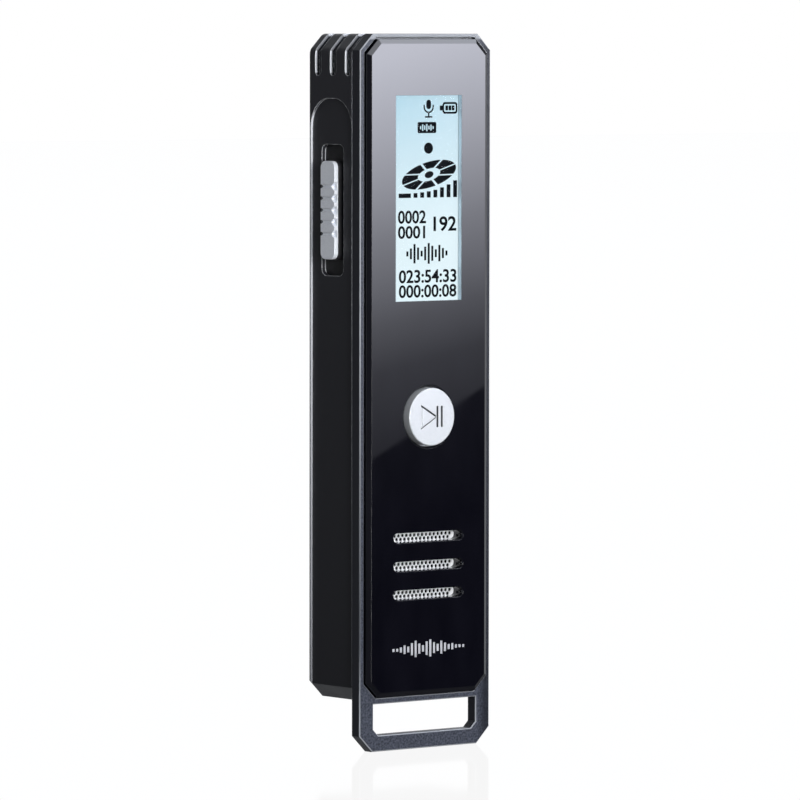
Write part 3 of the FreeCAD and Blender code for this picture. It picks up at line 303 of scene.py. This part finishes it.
def panel_gloss():
    """Polished black acrylic, with the faintest smears of handling and painted light on the wall round the display:
    the display's pale glow.
    """
    made = Surface("panel_gloss", (0.0022, 0.0022, 0.004), roughness=0.03)
    smear = made.noise(3.5, (1.0, 1.0, 2.5), detail=3.0)
    black = made.mix(made.band(smear, 0.3, 0.8), (0.0022, 0.0022, 0.0044), (0.0040, 0.0040, 0.0070))
    low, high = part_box("display_window")
    margin = Vector((WALL_REACH, -WALL_REACH, WALL_REACH)) * MM
    wall = made.within(low - margin, high + margin)
    # Painted light: the walls of the display's opening take the display's pale glow as their colour.
    display_glow_colour = (0.62, 0.76, 0.84)
    made.set("Base Color", made.mix(wall, black, display_glow_colour))
    made.set("Roughness", made.band(smear, 0.35, 0.8, 0.018, 0.05))
    made.set("Specular IOR Level", 0.5)
    _, normal = made.edges(0.03)
    return made.relief(made.noise(6.0), 0.002, normal, 0.3)


def window_clear():
    """The clear lens over the display: nearly all of it lets the display through."""
    made = Surface("window_clear", (0.02, 0.03, 0.035), roughness=0.03)
    made.set("Base Color", made.mix(made.noise(5.0), (0.016, 0.024, 0.030), (0.030, 0.040, 0.046)))
    made.set("Roughness", made.band(made.noise(2.0), *NOISE_SPAN, 0.02, 0.06))
    made.set("Specular IOR Level", 0.15)
    made.set("Alpha", 0.02)
    return made


def display_face():
    """The lit display: blue at its top, paler below and to the right, with a faint fleck."""
    made = Surface("display_face", (0.6, 0.8, 0.86), roughness=0.45)
    low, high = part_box("display_window")
    rise = made.band(made.axis("Z"), low.z, high.z)
    pale, blue = (0.68, 0.81, 0.85), (0.40, 0.62, 0.73)
    right_tint, fleck_tint, unlit = (0.80, 0.90, 0.95), (0.9, 0.95, 0.98), (0.02, 0.03, 0.035)
    base = made.mix(made.band(rise, 0.35, 1.0), pale, blue)
    across = made.band(made.axis("X"), low.x, high.x, 0.0, 0.22)
    base = made.mix(across, base, right_tint)
    fleck = made.noise(0.25, detail=1.0)
    base = made.mix(made.band(fleck, *NOISE_SPAN, 0.0, 0.10), base, fleck_tint)
    made.set("Base Color", made.mix(0.85, base, unlit))
    made.set("Emission Color", base)
    made.set("Emission Strength", 0.90)
    made.set("Specular IOR Level", 0.05)
    return made.relief(fleck, 0.003)


def display_ink():
    """The display's dark segments."""
    made = Surface("display_ink", (0.006, 0.008, 0.012), roughness=0.5)
    fleck = made.noise(0.2)
    made.set("Base Color", made.mix(fleck, (0.0015, 0.002, 0.003), (0.003, 0.004, 0.006)))
    made.set("Roughness", made.band(fleck, *NOISE_SPAN, 0.45, 0.6))
    made.set("Specular IOR Level", 0.03)
    return made


LATHE_PITCH = 0.07      # spacing of the button's turning marks, in millimetres


def spun_button():
    """Bright anodised aluminium, turned on a lathe, so that its marks run round the middle."""
    made = Surface("spun_button", (0.5, 0.52, 0.54), metallic=0.25)
    low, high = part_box("play_button")
    middle = (low + high) / 2
    out = made.vector("SUBTRACT", made.place, tuple(middle))
    flat = made.vector("MULTIPLY", out, (1.0, 0.0, 1.0))
    radius = made.vector("LENGTH", flat)
    lathe = made.node("ShaderNodeTexNoise", noise_dimensions="1D")
    made.feed(lathe.inputs["W"], made.maths("DIVIDE", radius, LATHE_PITCH * MM))
    lathe.inputs["Detail"].default_value = 2.0
    turned = lathe.outputs["Fac"]
    fleck = made.noise(0.18, detail=2.0)
    groove, crest, glint = (0.52, 0.54, 0.555), (0.61, 0.63, 0.65), (0.72, 0.74, 0.76)
    base = made.mix(made.band(turned, *NOISE_SPAN), groove, crest)
    made.set("Base Color", made.mix(made.band(fleck, 0.35, 0.75, 0.0, 0.35), base, glint))
    made.set("Roughness", made.band(turned, *NOISE_SPAN, 0.26, 0.38))
    _, normal = made.edges(0.08)
    return made.relief(made.maths("ADD", turned, fleck), 0.002, normal)


def satin_metal(name, dark, light, grain, stretch, roughness, depth=0.003, edge=0.1, metallic=1.0):
    """Drawn, brushed or plated metal: a grain that may run along one axis, and a bright edge. Lengths are in
    millimetres."""
    made = Surface(name, light, metallic=metallic)
    fleck = made.noise(grain, stretch, detail=3.0)
    rim, normal = made.edges(edge)
    rubbed_bright = (0.9, 0.9, 0.9)
    base = made.mix(made.band(fleck, *NOISE_SPAN), dark, light)
    made.set("Base Color", made.mix(made.maths("MULTIPLY", rim, 0.6), base, rubbed_bright))
    made.set("Roughness", made.band(fleck, *NOISE_SPAN, roughness - 0.06, roughness + 0.08))
    return made.relief(fleck, depth, normal)


CLOUD_SCALE = 9.0       # size of a plastic's cloudy patches, beside its grain


def moulded(name, dark, light, grain, roughness, depth=0.004, edge=0.12, coat=0.0):
    """Moulded plastic, rubber, film or ceramic: a fine texture, cloudy colour and softer edges. Lengths are in
    millimetres."""
    made = Surface(name, light)
    fleck = made.noise(grain, detail=3.0)
    cloud = made.noise(grain * CLOUD_SCALE)
    rim, normal = made.edges(edge)
    worn = tuple(min(1.0, c * 1.5 + 0.02) for c in light)
    base = made.mix(made.band(cloud, 0.35, 0.65), dark, light)
    made.set("Base Color", made.mix(made.maths("MULTIPLY", rim, 0.5), base, worn))
    made.set("Roughness", made.band(fleck, *NOISE_SPAN, max(0.02, roughness - 0.07), min(1.0, roughness + 0.07)))
    made.set("Coat Weight", coat)
    return made.relief(fleck, depth, normal)


def circuit_board():
    """Green solder mask over copper tracks, on woven glass."""
    made = moulded("circuit_board", (0.008, 0.075, 0.028), (0.012, 0.11, 0.042), 0.3, 0.3, coat=0.4)
    tracks = made.node("ShaderNodeTexBrick", offset=0.5)
    made.feed(tracks.inputs["Vector"], made.vector("DIVIDE", made.place, (MM,) * 3))
    for name, value in (("Scale", 0.8), ("Mortar Size", 0.06), ("Color1", (0.010, 0.09, 0.034, 1.0)),
                        ("Color2", (0.012, 0.10, 0.040, 1.0)), ("Mortar", (0.03, 0.20, 0.08, 1.0))):
        made.feed(tracks.inputs[name], value)
    made.set("Base Color", tracks.outputs["Color"])
    return made


def felt():
    """Thin dust felt: black fibres that run upwards."""
    made = Surface("felt", (0.015, 0.015, 0.017), roughness=0.95)
    fibre = made.noise(0.12, (1.0, 1.0, 4.0), detail=5.0)
    made.set("Base Color", made.mix(fibre, (0.002, 0.002, 0.0025), (0.006, 0.006, 0.007)))
    made.set("Specular IOR Level", 0.1)
    return made.relief(fibre, 0.05)


def finishes():
    """The finish of each of the record's material slots."""
    black = (0.010, 0.010, 0.011), (0.018, 0.018, 0.020)
    made = {
        "frame_paint": frame_paint(),
        "shell_paint": shell_paint(),
        "panel_gloss": panel_gloss(),
        "window_clear": window_clear(),
        "lcd_glass": display_face(),
        "button_metal": spun_button(),
        "knob_metal": satin_metal("knob_satin", (0.76, 0.79, 0.85), (0.93, 0.96, 1.0), 0.14, (1, 1, 1), 0.34,
                                  0.006, 0.10, metallic=0.15),
        "grille_steel": satin_metal("grille_steel", (0.90, 0.91, 0.93), (0.97, 0.98, 1.0), 0.1, (4, 1, 1), 0.3,
                                    0.003, 0.02, metallic=0.1),
        "socket_steel": satin_metal("socket_steel", (0.45, 0.45, 0.47), (0.62, 0.62, 0.64), 0.08, (1, 1, 6), 0.28),
        "switch_metal": satin_metal("switch_steel", (0.42, 0.42, 0.43), (0.6, 0.6, 0.61), 0.1, (5, 1, 1), 0.3),
        "magnet_nickel": satin_metal("nickel", (0.5, 0.49, 0.46), (0.66, 0.65, 0.62), 0.3, (1, 1, 1), 0.2),
        "mic_can": satin_metal("microphone_can", (0.45, 0.45, 0.44), (0.62, 0.62, 0.60), 0.1, (1, 1, 3), 0.32),
        "crystal_can": satin_metal("crystal_can", (0.5, 0.5, 0.48), (0.68, 0.68, 0.66), 0.1, (3, 1, 1), 0.25),
        "contact_gold": satin_metal("contact_gold", (0.70, 0.48, 0.16), (0.86, 0.62, 0.25), 0.08, (1, 1, 4), 0.22),
        "screw_black": satin_metal("screw_black", (0.03, 0.03, 0.032), (0.07, 0.07, 0.075), 0.06, (1, 1, 1), 0.38,
                                   0.003, 0.06),
        "carrier_plastic": moulded("carrier_black", *black, 0.1, 0.42),
        "key_plastic": moulded("key_black", *black, 0.12, 0.30, coat=0.25),
        "tape_black": moulded("tape_black", *black, 0.2, 0.8),
        "foam_grey": moulded("foam_grey", (0.030, 0.030, 0.033), (0.06, 0.06, 0.065), 0.12, 0.9, 0.03),
        "speaker_plastic": moulded("speaker_black", *black, 0.1, 0.5),
        "cone_film": moulded("cone_film", (0.22, 0.20, 0.15), (0.32, 0.30, 0.24), 0.4, 0.25, coat=0.3),
        "wire_insulation": moulded("wire_red", (0.36, 0.015, 0.012), (0.48, 0.025, 0.02), 0.15, 0.45),
        "boot_rubber": moulded("boot_rubber", *black, 0.1, 0.7),
        "guide_plastic": moulded("light_guide", (0.62, 0.72, 0.78), (0.72, 0.82, 0.88), 0.3, 0.35),
        "holder_plastic": moulded("holder_white", (0.60, 0.60, 0.58), (0.72, 0.72, 0.70), 0.12, 0.5),
        "ribbon_film": moulded("ribbon_film", (0.36, 0.14, 0.025), (0.48, 0.21, 0.045), 0.35, 0.25, coat=0.4),
        "switch_plastic": moulded("switch_black", *black, 0.1, 0.45),
        "board_green": circuit_board(),
        "chip_black": moulded("chip_black", *black, 0.08, 0.55),
        "resistor_ceramic": moulded("resistor_ceramic", (0.02, 0.02, 0.022), (0.09, 0.09, 0.09), 0.2, 0.4),
        "battery_foil": satin_metal("battery_foil", (0.55, 0.56, 0.58), (0.72, 0.73, 0.75), 0.6, (1, 1, 1), 0.3,
                                    0.02, metallic=0.8),
        "plug_nylon": moulded("plug_nylon", (0.66, 0.64, 0.58), (0.78, 0.76, 0.70), 0.1, 0.45),
        "jack_plastic": moulded("jack_black", *black, 0.1, 0.35),
        "tongue_plastic": moulded("tongue_black", *black, 0.08, 0.4),
        "felt_black": felt(),
    }
    return {slot: surface.material for slot, surface in made.items()}


def dress_nodes(finish):
    """Gives every CAD node the finish of the slot that it was packed with."""
    for node in frame["nodes"].values():
        for slot in node.material_slots:
            slot.material = finish[slot.material.name]


# ---------------------------------------------------------------- the display's symbols and the panel's print

DIGIT_POINTS = 4        # points on each curve of a digit's outline
DIGIT_WEIGHT = 0.02     # how far each digit's outline is pushed out, as a share of its height
SAME_POINT = 1e-5       # points of a digit's mesh that lie closer than this are joined
INK_DEPTH = 0.02        # thickness of the printed shapes, in millimetres
SYMBOL_POCKET = 0.09    # depth of the button's engraving, in millimetres
CORNER_POINTS = 6       # points on each corner of a rounded box


class Print:
    """Thin raised shapes on a plane that faces -Y, gathered into one mesh. Sizes are in millimetres."""

    def __init__(self, front):
        self.mesh = bmesh.new()
        self.front = front
        self.back = front + INK_DEPTH

    def plate(self, outline):
        """A flat shape with this outline of (x, z) points."""
        near = [self.mesh.verts.new((x, self.front, z)) for x, z in outline]
        far = [self.mesh.verts.new((x, self.back, z)) for x, z in outline]
        self.mesh.faces.new(near)
        self.mesh.faces.new(reversed(far))
        for i in range(len(outline)):
            self.mesh.faces.new((near[i - 1], far[i - 1], far[i], near[i]))

    def ring(self, outer, inner):
        """The band between two outlines that have as many points."""
        count = len(outer)
        for i in range(count):
            self.plate([outer[i - 1], outer[i], inner[i], inner[i - 1]])

    def bar(self, left, right, low, high):
        """An upright rectangle."""
        self.plate([(left, low), (right, low), (right, high), (left, high)])

    def digits(self, text, left, right, low, high):
        """A row of digits that fills the box."""
        curve = bpy.data.curves.new("digits", "FONT")
        curve.body = text
        curve.resolution_u = DIGIT_POINTS
        curve.offset = DIGIT_WEIGHT
        holder = bpy.data.objects.new("digits", curve)
        scene.collection.objects.link(holder)
        bpy.context.view_layer.update()
        row = bpy.data.meshes.new_from_object(holder.evaluated_get(bpy.context.evaluated_depsgraph_get()))
        bpy.data.objects.remove(holder)
        bpy.data.curves.remove(curve)
        start = (min(v.co.x for v in row.vertices), min(v.co.y for v in row.vertices))
        size = (max(v.co.x for v in row.vertices) - start[0], max(v.co.y for v in row.vertices) - start[1])
        flat = bmesh.new()
        flat.from_mesh(row)
        bpy.data.meshes.remove(row)
        bmesh.ops.remove_doubles(flat, verts=flat.verts, dist=SAME_POINT)
        for v in flat.verts:
            v.co = Vector((left + (v.co.x - start[0]) / size[0] * (right - left), self.front,
                           low + (v.co.y - start[1]) / size[1] * (high - low)))
        grown = bmesh.ops.extrude_face_region(flat, geom=list(flat.faces))
        moved = [g for g in grown["geom"] if isinstance(g, bmesh.types.BMVert)]
        bmesh.ops.translate(flat, verts=moved, vec=(0.0, INK_DEPTH, 0.0))
        part = bpy.data.meshes.new("digits")
        flat.to_mesh(part)
        flat.free()
        self.mesh.from_mesh(part)
        bpy.data.meshes.remove(part)

    def finish(self, name, material, slot, body="case"):
        """Makes the shapes one named piece that rides on a body."""
        bmesh.ops.recalc_face_normals(self.mesh, faces=self.mesh.faces)
        self.mesh.transform(Matrix.Scale(MM, 4))
        data = bpy.data.meshes.new(name)
        self.mesh.to_mesh(data)
        self.mesh.free()
        data.materials.append(material)
        made = bpy.data.objects.new(name, data)
        scene.collection.objects.link(made)
        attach(made, body)


def oval(centre, across, up, points, tilt=0.0, start=0.0, end=360.0):
    """An outline along an ellipse with these half sizes, turned by tilt, from the angle start to end, in degrees. It
    has one point more than asked for, except that a whole turn doesn't repeat its first point."""
    whole = end - start >= 360.0
    steps = points if whole else points + 1
    turn = math.radians(tilt)
    outline = []
    for i in range(steps):
        angle = math.radians(start + (end - start) * i / points)
        x, z = across * math.cos(angle), up * math.sin(angle)
        outline.append((centre[0] + x * math.cos(turn) - z * math.sin(turn),
                        centre[1] + x * math.sin(turn) + z * math.cos(turn)))
    return outline


def rounded_box(left, right, low, high, radius):
    """The outline of a rectangle with rounded corners."""
    outline = []
    for x, z, start in ((right - radius, high - radius, 0), (left + radius, high - radius, 90),
                        (left + radius, low + radius, 180), (right - radius, low + radius, 270)):
        outline += oval((x, z), radius, radius, CORNER_POINTS, start=start, end=start + 90)
    return outline


def battery_symbol(ink):
    """A battery with three cells, its contact to the left."""
    left, right, low, high = 3.08, 5.75, 88.82, 90.46
    line, outer_round, inner_round = 0.28, 0.42, 0.2
    ink.ring(rounded_box(left, right, low, high, outer_round),
             rounded_box(left + line, right - line, low + line, high - line, inner_round))
    cell_low, cell_high = 89.3, 89.98
    contact, overlap = 2.60, 0.02
    ink.bar(contact, left + overlap, cell_low, cell_high)
    first_cell, cell_pitch, cell_width = 3.62, 0.57, 0.46
    for i in range(3):
        start = first_cell + i * cell_pitch
        ink.bar(start, start + cell_width, cell_low, cell_high)


def microphone_symbol(ink):
    """A capsule in its yoke, on a stand."""
    x, z = 0.6, 89.85
    capsule, capsule_round = 0.42, 0.41
    ink.plate(rounded_box(x - capsule, x + capsule, z - 0.35, z + 0.95, capsule_round))
    arm = z + 0.25
    outer, inner = (oval((x, z), radius, radius, 16, start=180, end=360) + [(x + radius, arm), (x - radius, arm)]
                    for radius in (0.92, 0.70))
    ink.ring(outer, inner)
    for half_width, low, high in ((0.11, 1.35, 0.85), (0.65, 1.55, 1.33)):
        ink.bar(x - half_width, x + half_width, z - low, z - high)


def disc_symbol(ink):
    """A turning disc, seen tilted: eight segments round a hub."""
    centre, tilt = (0.69, 80.35), 13.0
    outside, inside, hub = (4.95, 1.78), (2.05, 0.84), (0.79, 0.46)
    segments, gap, first_angle, narrowing = 8, 5.0, 12.0, 3.0
    turn = 360.0 / segments
    steps = 10
    for i in range(segments):
        start, end = i * turn + gap / 2 + first_angle, (i + 1) * turn - gap / 2 + first_angle
        outer = oval(centre, *outside, steps, tilt, start, end)
        inner = oval(centre, *inside, steps, tilt, start + narrowing, end - narrowing)
        for a in range(steps):
            ink.plate([outer[a], outer[a + 1], inner[a + 1], inner[a]])
    ink.plate(oval(centre, *hub, 28, tilt))


def level_symbol(ink):
    """The recording level: a long bar, then seven that rise."""
    base = 77.15
    ink.bar(-4.73, -2.58, base, base + 0.62)
    first_bar, pitch, width = -2.07, 1.185, 0.68
    for i, height in enumerate((0.66, 0.75, 0.88, 1.07, 1.4, 1.8, 2.35)):
        left = first_bar + i * pitch
        ink.bar(left, left + width, base, base + height)


BAR_SHARE = 0.55        # width of a sound wave's bars, beside their spacing


def wave_symbol(ink, left, right, middle, heights):
    """A sound wave: upright bars about a middle line."""
    pitch = (right - left) / len(heights)
    for i, height in enumerate(heights):
        start = left + i * pitch
        ink.bar(start, start + pitch * BAR_SHARE, middle - height / 2, middle + height / 2)


def display_symbols(finish):
    """The display's dark symbols and digits, and the pale marks on its label, between the window and the glass."""
    window_back = corners("display_window")[1].y
    glass_front = corners("lcd_glass")[0].y
    front = (window_back + glass_front - INK_DEPTH) / 2
    ink = Print(front)
    battery_symbol(ink)
    microphone_symbol(ink)
    ink.plate(rounded_box(-1.38, 1.96, 86.15, 87.7, 0.25))
    ink.plate(oval((0.58, 84.05), 0.80, 0.78, 32))
    disc_symbol(ink)
    level_symbol(ink)
    ink.digits("0002", -4.85, 0.15, 73.55, 75.4)
    ink.digits("0001", -4.85, 0.0, 71.45, 73.25)
    ink.digits("192", 1.5, 5.6, 72.4, 74.5)
    wave_symbol(ink, -3.35, 4.3, 69.35, (0.7, 1.5, 2.7, 1.7, 0.8, 1.9, 2.9, 2.1, 1.1, 2.3, 1.4, 0.7))
    ink.digits("023:54:33", -4.68, 5.63, 65.25, 67.1)
    ink.digits("000:00:08", -4.68, 5.63, 63.2, 65.0)
    ink.finish("lcd_symbols", display_ink().material, "lcd_glass")
    marks = Print(front - INK_DEPTH / 2)
    wave_symbol(marks, -0.95, 1.65, 86.92, (0.45, 0.9, 0.6, 1.0, 0.5, 0.8, 0.4))
    marks.finish("lcd_label_marks", finish["lcd_glass"], "lcd_glass")


def play_symbol():
    """Dark strokes in the button's engraved play and pause marks: partly dark filling and partly painted shade, where
    the engraving's walls fall in shade; the triangle's upper stroke is broader than its lower one.
    """
    paint = moulded("symbol_fill_and_shade", (0.008, 0.009, 0.012), (0.014, 0.015, 0.02), 0.06, 0.6, 0.002, 0.02)
    low, high = corners("play_button")
    centre = (low.z + high.z) / 2
    ink = Print(low.y + SYMBOL_POCKET - INK_DEPTH / 2)
    left, tip, half, blunt = -1.96, 0.70, 1.74, 0.2
    # Painted shade: the stroke under the triangle's upper edge is broader than the one over its lower edge.
    upper_shade_stroke, lower_shade_stroke = 0.27, 0.15
    for side, width in ((1.0, upper_shade_stroke), (-1.0, lower_shade_stroke)):
        start, end = centre + side * half, centre + side * blunt
        ink.plate([(left, start), (tip, end), (tip, end - side * width), (left, start - side * width)])
    bar_width, bar_half = 0.36, 1.5
    for x in (0.80, 1.58):
        ink.bar(x, x + bar_width, centre - bar_half, centre + bar_half)
    ink.finish("play_symbol", paint.material, "button_metal", "play")


def panel_print():
    """A plain printed sound wave at the panel's foot, in silver ink."""
    silver = satin_metal("silver_ink", (0.40, 0.41, 0.43), (0.54, 0.55, 0.57), 0.1, (1, 1, 1), 0.45, 0.002,
                         0.02, metallic=0.4)
    ink = Print(corners("front_panel")[0].y - INK_DEPTH / 2)
    wave_symbol(ink, -6.4, 6.8, 14.1, (0.4, 0.4, 0.7, 1.2, 0.8, 1.7, 2.3, 1.4, 0.9, 1.9, 2.4, 1.5, 1.0, 1.8,
                                       1.2, 0.7, 0.9, 0.5, 0.4, 0.4))
    ink.finish("panel_mark", silver.material, "button_metal")


# ---------------------------------------------------------------- studio

VIEW_YAW = math.radians(38.62)      # the camera stands this far round to the left of the display's front
VIEW_FALL = math.radians(3.23)      # and looks down by this much
VIEW_ROLL = math.radians(0.08)
VIEW_DISTANCE = 0.92527
LENS = 298.58                       # focal length in millimetres
CLIP = (0.05, 50.0)                 # nearest and farthest place that the camera shows
AIM = Vector((-0.0044, -0.0049, 0.0490))
ALONG = Vector((math.sin(VIEW_YAW), math.cos(VIEW_YAW), 0.0))       # the camera's direction, level
MIRRORED = Vector((ALONG.x, -ALONG.y, 0.0))                         # the same, mirrored by the panel


def studio_object(name, data):
    """A new object of the studio, in the scene."""
    made = bpy.data.objects.new(name, data)
    scene.collection.objects.link(made)
    return made


def facing(place, toward, roll=0.0):
    """A matrix whose -Z axis looks from place in the direction toward."""
    forward = toward.normalized()
    right = forward.cross(Vector((0.0, 0.0, 1.0))).normalized()
    up = right.cross(forward)
    turn = Matrix((right, up, -forward)).transposed().to_4x4()
    return Matrix.Translation(place) @ turn @ Matrix.Rotation(roll, 4, "Z")


def camera():
    """The camera, at the photograph's viewing angle."""
    lens = bpy.data.cameras.new("camera")
    lens.lens = LENS
    lens.clip_start, lens.clip_end = CLIP
    look = Vector((ALONG.x * math.cos(VIEW_FALL), ALONG.y * math.cos(VIEW_FALL), -math.sin(VIEW_FALL)))
    made = studio_object("camera", lens)
    made.matrix_world = facing(AIM - look * VIEW_DISTANCE, look, VIEW_ROLL)
    scene.camera = made


def softbox(name, direction, distance, width, height, radiance, colour):
    """A rectangular lamp, in that direction from the middle of the case and turned towards it."""
    lamp = bpy.data.lights.new(name, "AREA")
    lamp.shape = "RECTANGLE"
    lamp.size = width
    lamp.size_y = height
    lamp.energy = radiance * math.pi * width * height
    lamp.color = colour
    made = studio_object(name, lamp)
    toward = Vector(direction).normalized()
    made.matrix_world = facing(AIM + toward * distance, -toward)


def sheet(name, corner_points):
    """A flat sheet with four corners."""
    data = bpy.data.meshes.new(name)
    data.from_pydata(corner_points, [], [(0, 1, 2, 3)])
    return studio_object(name, data)


CARD_DISTANCE = 0.25                # from the case's middle
CARD_HALF_WIDTH = 0.055
CARD_LOW, CARD_HIGH = -0.05, 0.135
CARD_STOPS = ((-0.03, 0.05), (0.012, 0.12), (0.0295, 0.45), (0.041, 0.80), (0.0495, 1.75), (0.0645, 4.2),
              (0.0815, 8.2), (0.0965, 11.6), (0.1125, 13.5))        # heights, and how bright the card is there
CARD_TILT = 0.3                     # how far those heights fall for each metre along the card's own +X
CARD_EDGE = (0.0284, -0.654)        # the slanting edge's height in the card's middle, and its slope along +X
CARD_EDGE_BLUR = 0.0004
CARD_BELOW_EDGE = 0.16              # how bright the card is under that edge, beside over it
CARD_COLOUR = (0.98, 1.0, 1.13)


def reflection_card():
    """What the glossy panel mirrors: a sheet that fades downwards, cut by a slanting dark edge."""
    half, low, high = CARD_HALF_WIDTH, CARD_LOW, CARD_HIGH
    made = sheet("reflection_card", [(-half, 0, low), (half, 0, low), (half, 0, high), (-half, 0, high)])
    facing_case = math.atan2(-MIRRORED.x, MIRRORED.y)
    made.matrix_world = Matrix.Translation(AIM * Vector((1, 1, 0)) + MIRRORED * CARD_DISTANCE) @ \
        Matrix.Rotation(facing_case, 4, "Z")
    card = Surface("card_light", (0.0, 0.0, 0.0))
    height = card.axis("Z")
    tilted = card.maths("MULTIPLY_ADD", card.axis("X"), CARD_TILT, height)
    ramp = card.node_from("ShaderNodeValToRGB", card.band(tilted, CARD_STOPS[0][0], CARD_STOPS[-1][0]))
    span = CARD_STOPS[-1][0] - CARD_STOPS[0][0]
    top = CARD_STOPS[-1][1]
    stops = ramp.color_ramp.elements
    stops.remove(stops[1])
    for i, (place, light) in enumerate(CARD_STOPS):
        where = (place - CARD_STOPS[0][0]) / span
        stop = stops[0] if i == 0 else stops.new(where)
        stop.position = where
        stop.color = (*(part * light / top for part in CARD_COLOUR), 1.0)
    base, slope = CARD_EDGE
    over = card.maths("SUBTRACT", height, card.maths("MULTIPLY_ADD", card.axis("X"), slope, base))
    shown = card.band(over, -CARD_EDGE_BLUR, CARD_EDGE_BLUR, CARD_BELOW_EDGE, 1.0)
    glow = card.node("ShaderNodeEmission")
    card.feed(glow.inputs["Color"], ramp.outputs["Color"])
    card.feed(glow.inputs["Strength"], card.maths("MULTIPLY", shown, top))
    card.feed(card.tree.nodes["Material Output"].inputs["Surface"], glow.outputs["Emission"])
    made.data.materials.append(card.material)
    for ray in ("camera", "diffuse", "transmission", "shadow"):
        setattr(made, f"visible_{ray}", False)


FLOOR_REACH = 4.0
FLOOR_LIGHT = 0.2       # how brightly the floor lights the case, beside how it looks
FLOOR_MIRROR = 0.08     # how much of the floor's look is its reflection
FLOOR_BLUR = 0.08       # roughness of that reflection


def floor():
    """A white floor that glows evenly and mirrors the case very faintly."""
    reach = FLOOR_REACH
    made = sheet("floor", [(-reach, -reach, 0), (reach, -reach, 0), (reach, reach, 0), (-reach, reach, 0)])
    white = Surface("floor_white", (0.9, 0.9, 0.9))
    glow = white.node("ShaderNodeEmission")
    seen = white.node("ShaderNodeLightPath").outputs["Is Camera Ray"]
    white.feed(glow.inputs["Strength"], white.band(seen, 0.0, 1.0, FLOOR_LIGHT, 1.0))
    mirror = white.node("ShaderNodeBsdfGlossy")
    mirror.inputs["Roughness"].default_value = FLOOR_BLUR
    both = white.node("ShaderNodeMixShader")
    both.inputs["Fac"].default_value = FLOOR_MIRROR
    white.feed(both.inputs[1], glow.outputs["Emission"])
    white.feed(both.inputs[2], mirror.outputs["BSDF"])
    white.feed(white.tree.nodes["Material Output"].inputs["Surface"], both.outputs["Shader"])
    made.data.materials.append(white.material)
    made.visible_glossy = False


ROOM_COLOUR = (0.92, 0.95, 1.0)
ROOM_LIGHT = (0.13, 1.3)        # how bright the room is, and its far wall
WALL_FADE = (0.55, 0.97)        # cosine of the angle off the camera's direction, from the room into that wall


def world():
    """White behind everything, and a dim room with a bright far wall for light and reflections."""
    made = bpy.data.worlds.new("studio")
    made.use_nodes = True
    scene.world = made
    tree = made.node_tree
    tree.nodes.clear()

    def node(kind, **settings):
        new = tree.nodes.new(kind)
        for key, value in settings.items():
            setattr(new, key, value)
        return new

    seen, lit = node("ShaderNodeBackground"), node("ShaderNodeBackground")
    facing_wall = node("ShaderNodeVectorMath", operation="DOT_PRODUCT")
    tree.links.new(node("ShaderNodeTexCoord").outputs["Generated"], facing_wall.inputs[0])
    facing_wall.inputs[1].default_value = tuple(ALONG)
    level = node("ShaderNodeMapRange", interpolation_type="SMOOTHSTEP")
    for name, number in zip(("From Min", "From Max", "To Min", "To Max"), WALL_FADE + ROOM_LIGHT):
        level.inputs[name].default_value = number
    tree.links.new(facing_wall.outputs["Value"], level.inputs["Value"])
    tree.links.new(level.outputs["Result"], lit.inputs["Strength"])
    lit.inputs["Color"].default_value = (*ROOM_COLOUR, 1.0)
    choose, path = node("ShaderNodeMixShader"), node("ShaderNodeLightPath")
    tree.links.new(path.outputs["Is Camera Ray"], choose.inputs["Fac"])
    tree.links.new(lit.outputs["Background"], choose.inputs[1])
    tree.links.new(seen.outputs["Background"], choose.inputs[2])
    seen.inputs["Color"].default_value = (*WHITE, 1.0)
    tree.links.new(choose.outputs["Shader"], node("ShaderNodeOutputWorld").inputs["Surface"])


LIGHTS = (      # name, direction from the case, distance, width, height, radiance, colour
    ("front_key", (-0.12, -1.0, 0.62), 0.9, 0.5, 0.4, 3.5, (0.94, 0.97, 1.05)),
    ("front_low", (-0.213, -1.0, 0.04), 0.9, 0.285, 0.40, 26.0, WHITE),
    ("camera_side", (-0.78, -0.62, 0.05), 1.1, 0.7, 0.9, 0.4, (0.6, 0.78, 1.0)),
    ("left_strip", (-1.0, -0.15, 0.12), 0.8, 0.05, 0.6, 2.0, WHITE),
    ("top_right", (0.62, -0.42, 0.66), 0.8, 0.35, 0.35, 6.5, (0.91, 0.95, 1.06)),
    ("rear_light", (0.2, 1.0, 0.1), 0.9, 0.3, 0.6, 3.0, WHITE),
)


scene.view_settings.view_transform = "Standard"
finish = finishes()
dress_nodes(finish)
display_symbols(finish)
play_symbol()
panel_print()
camera()
floor()
reflection_card()
world()
for light in LIGHTS:
    softbox(*light)
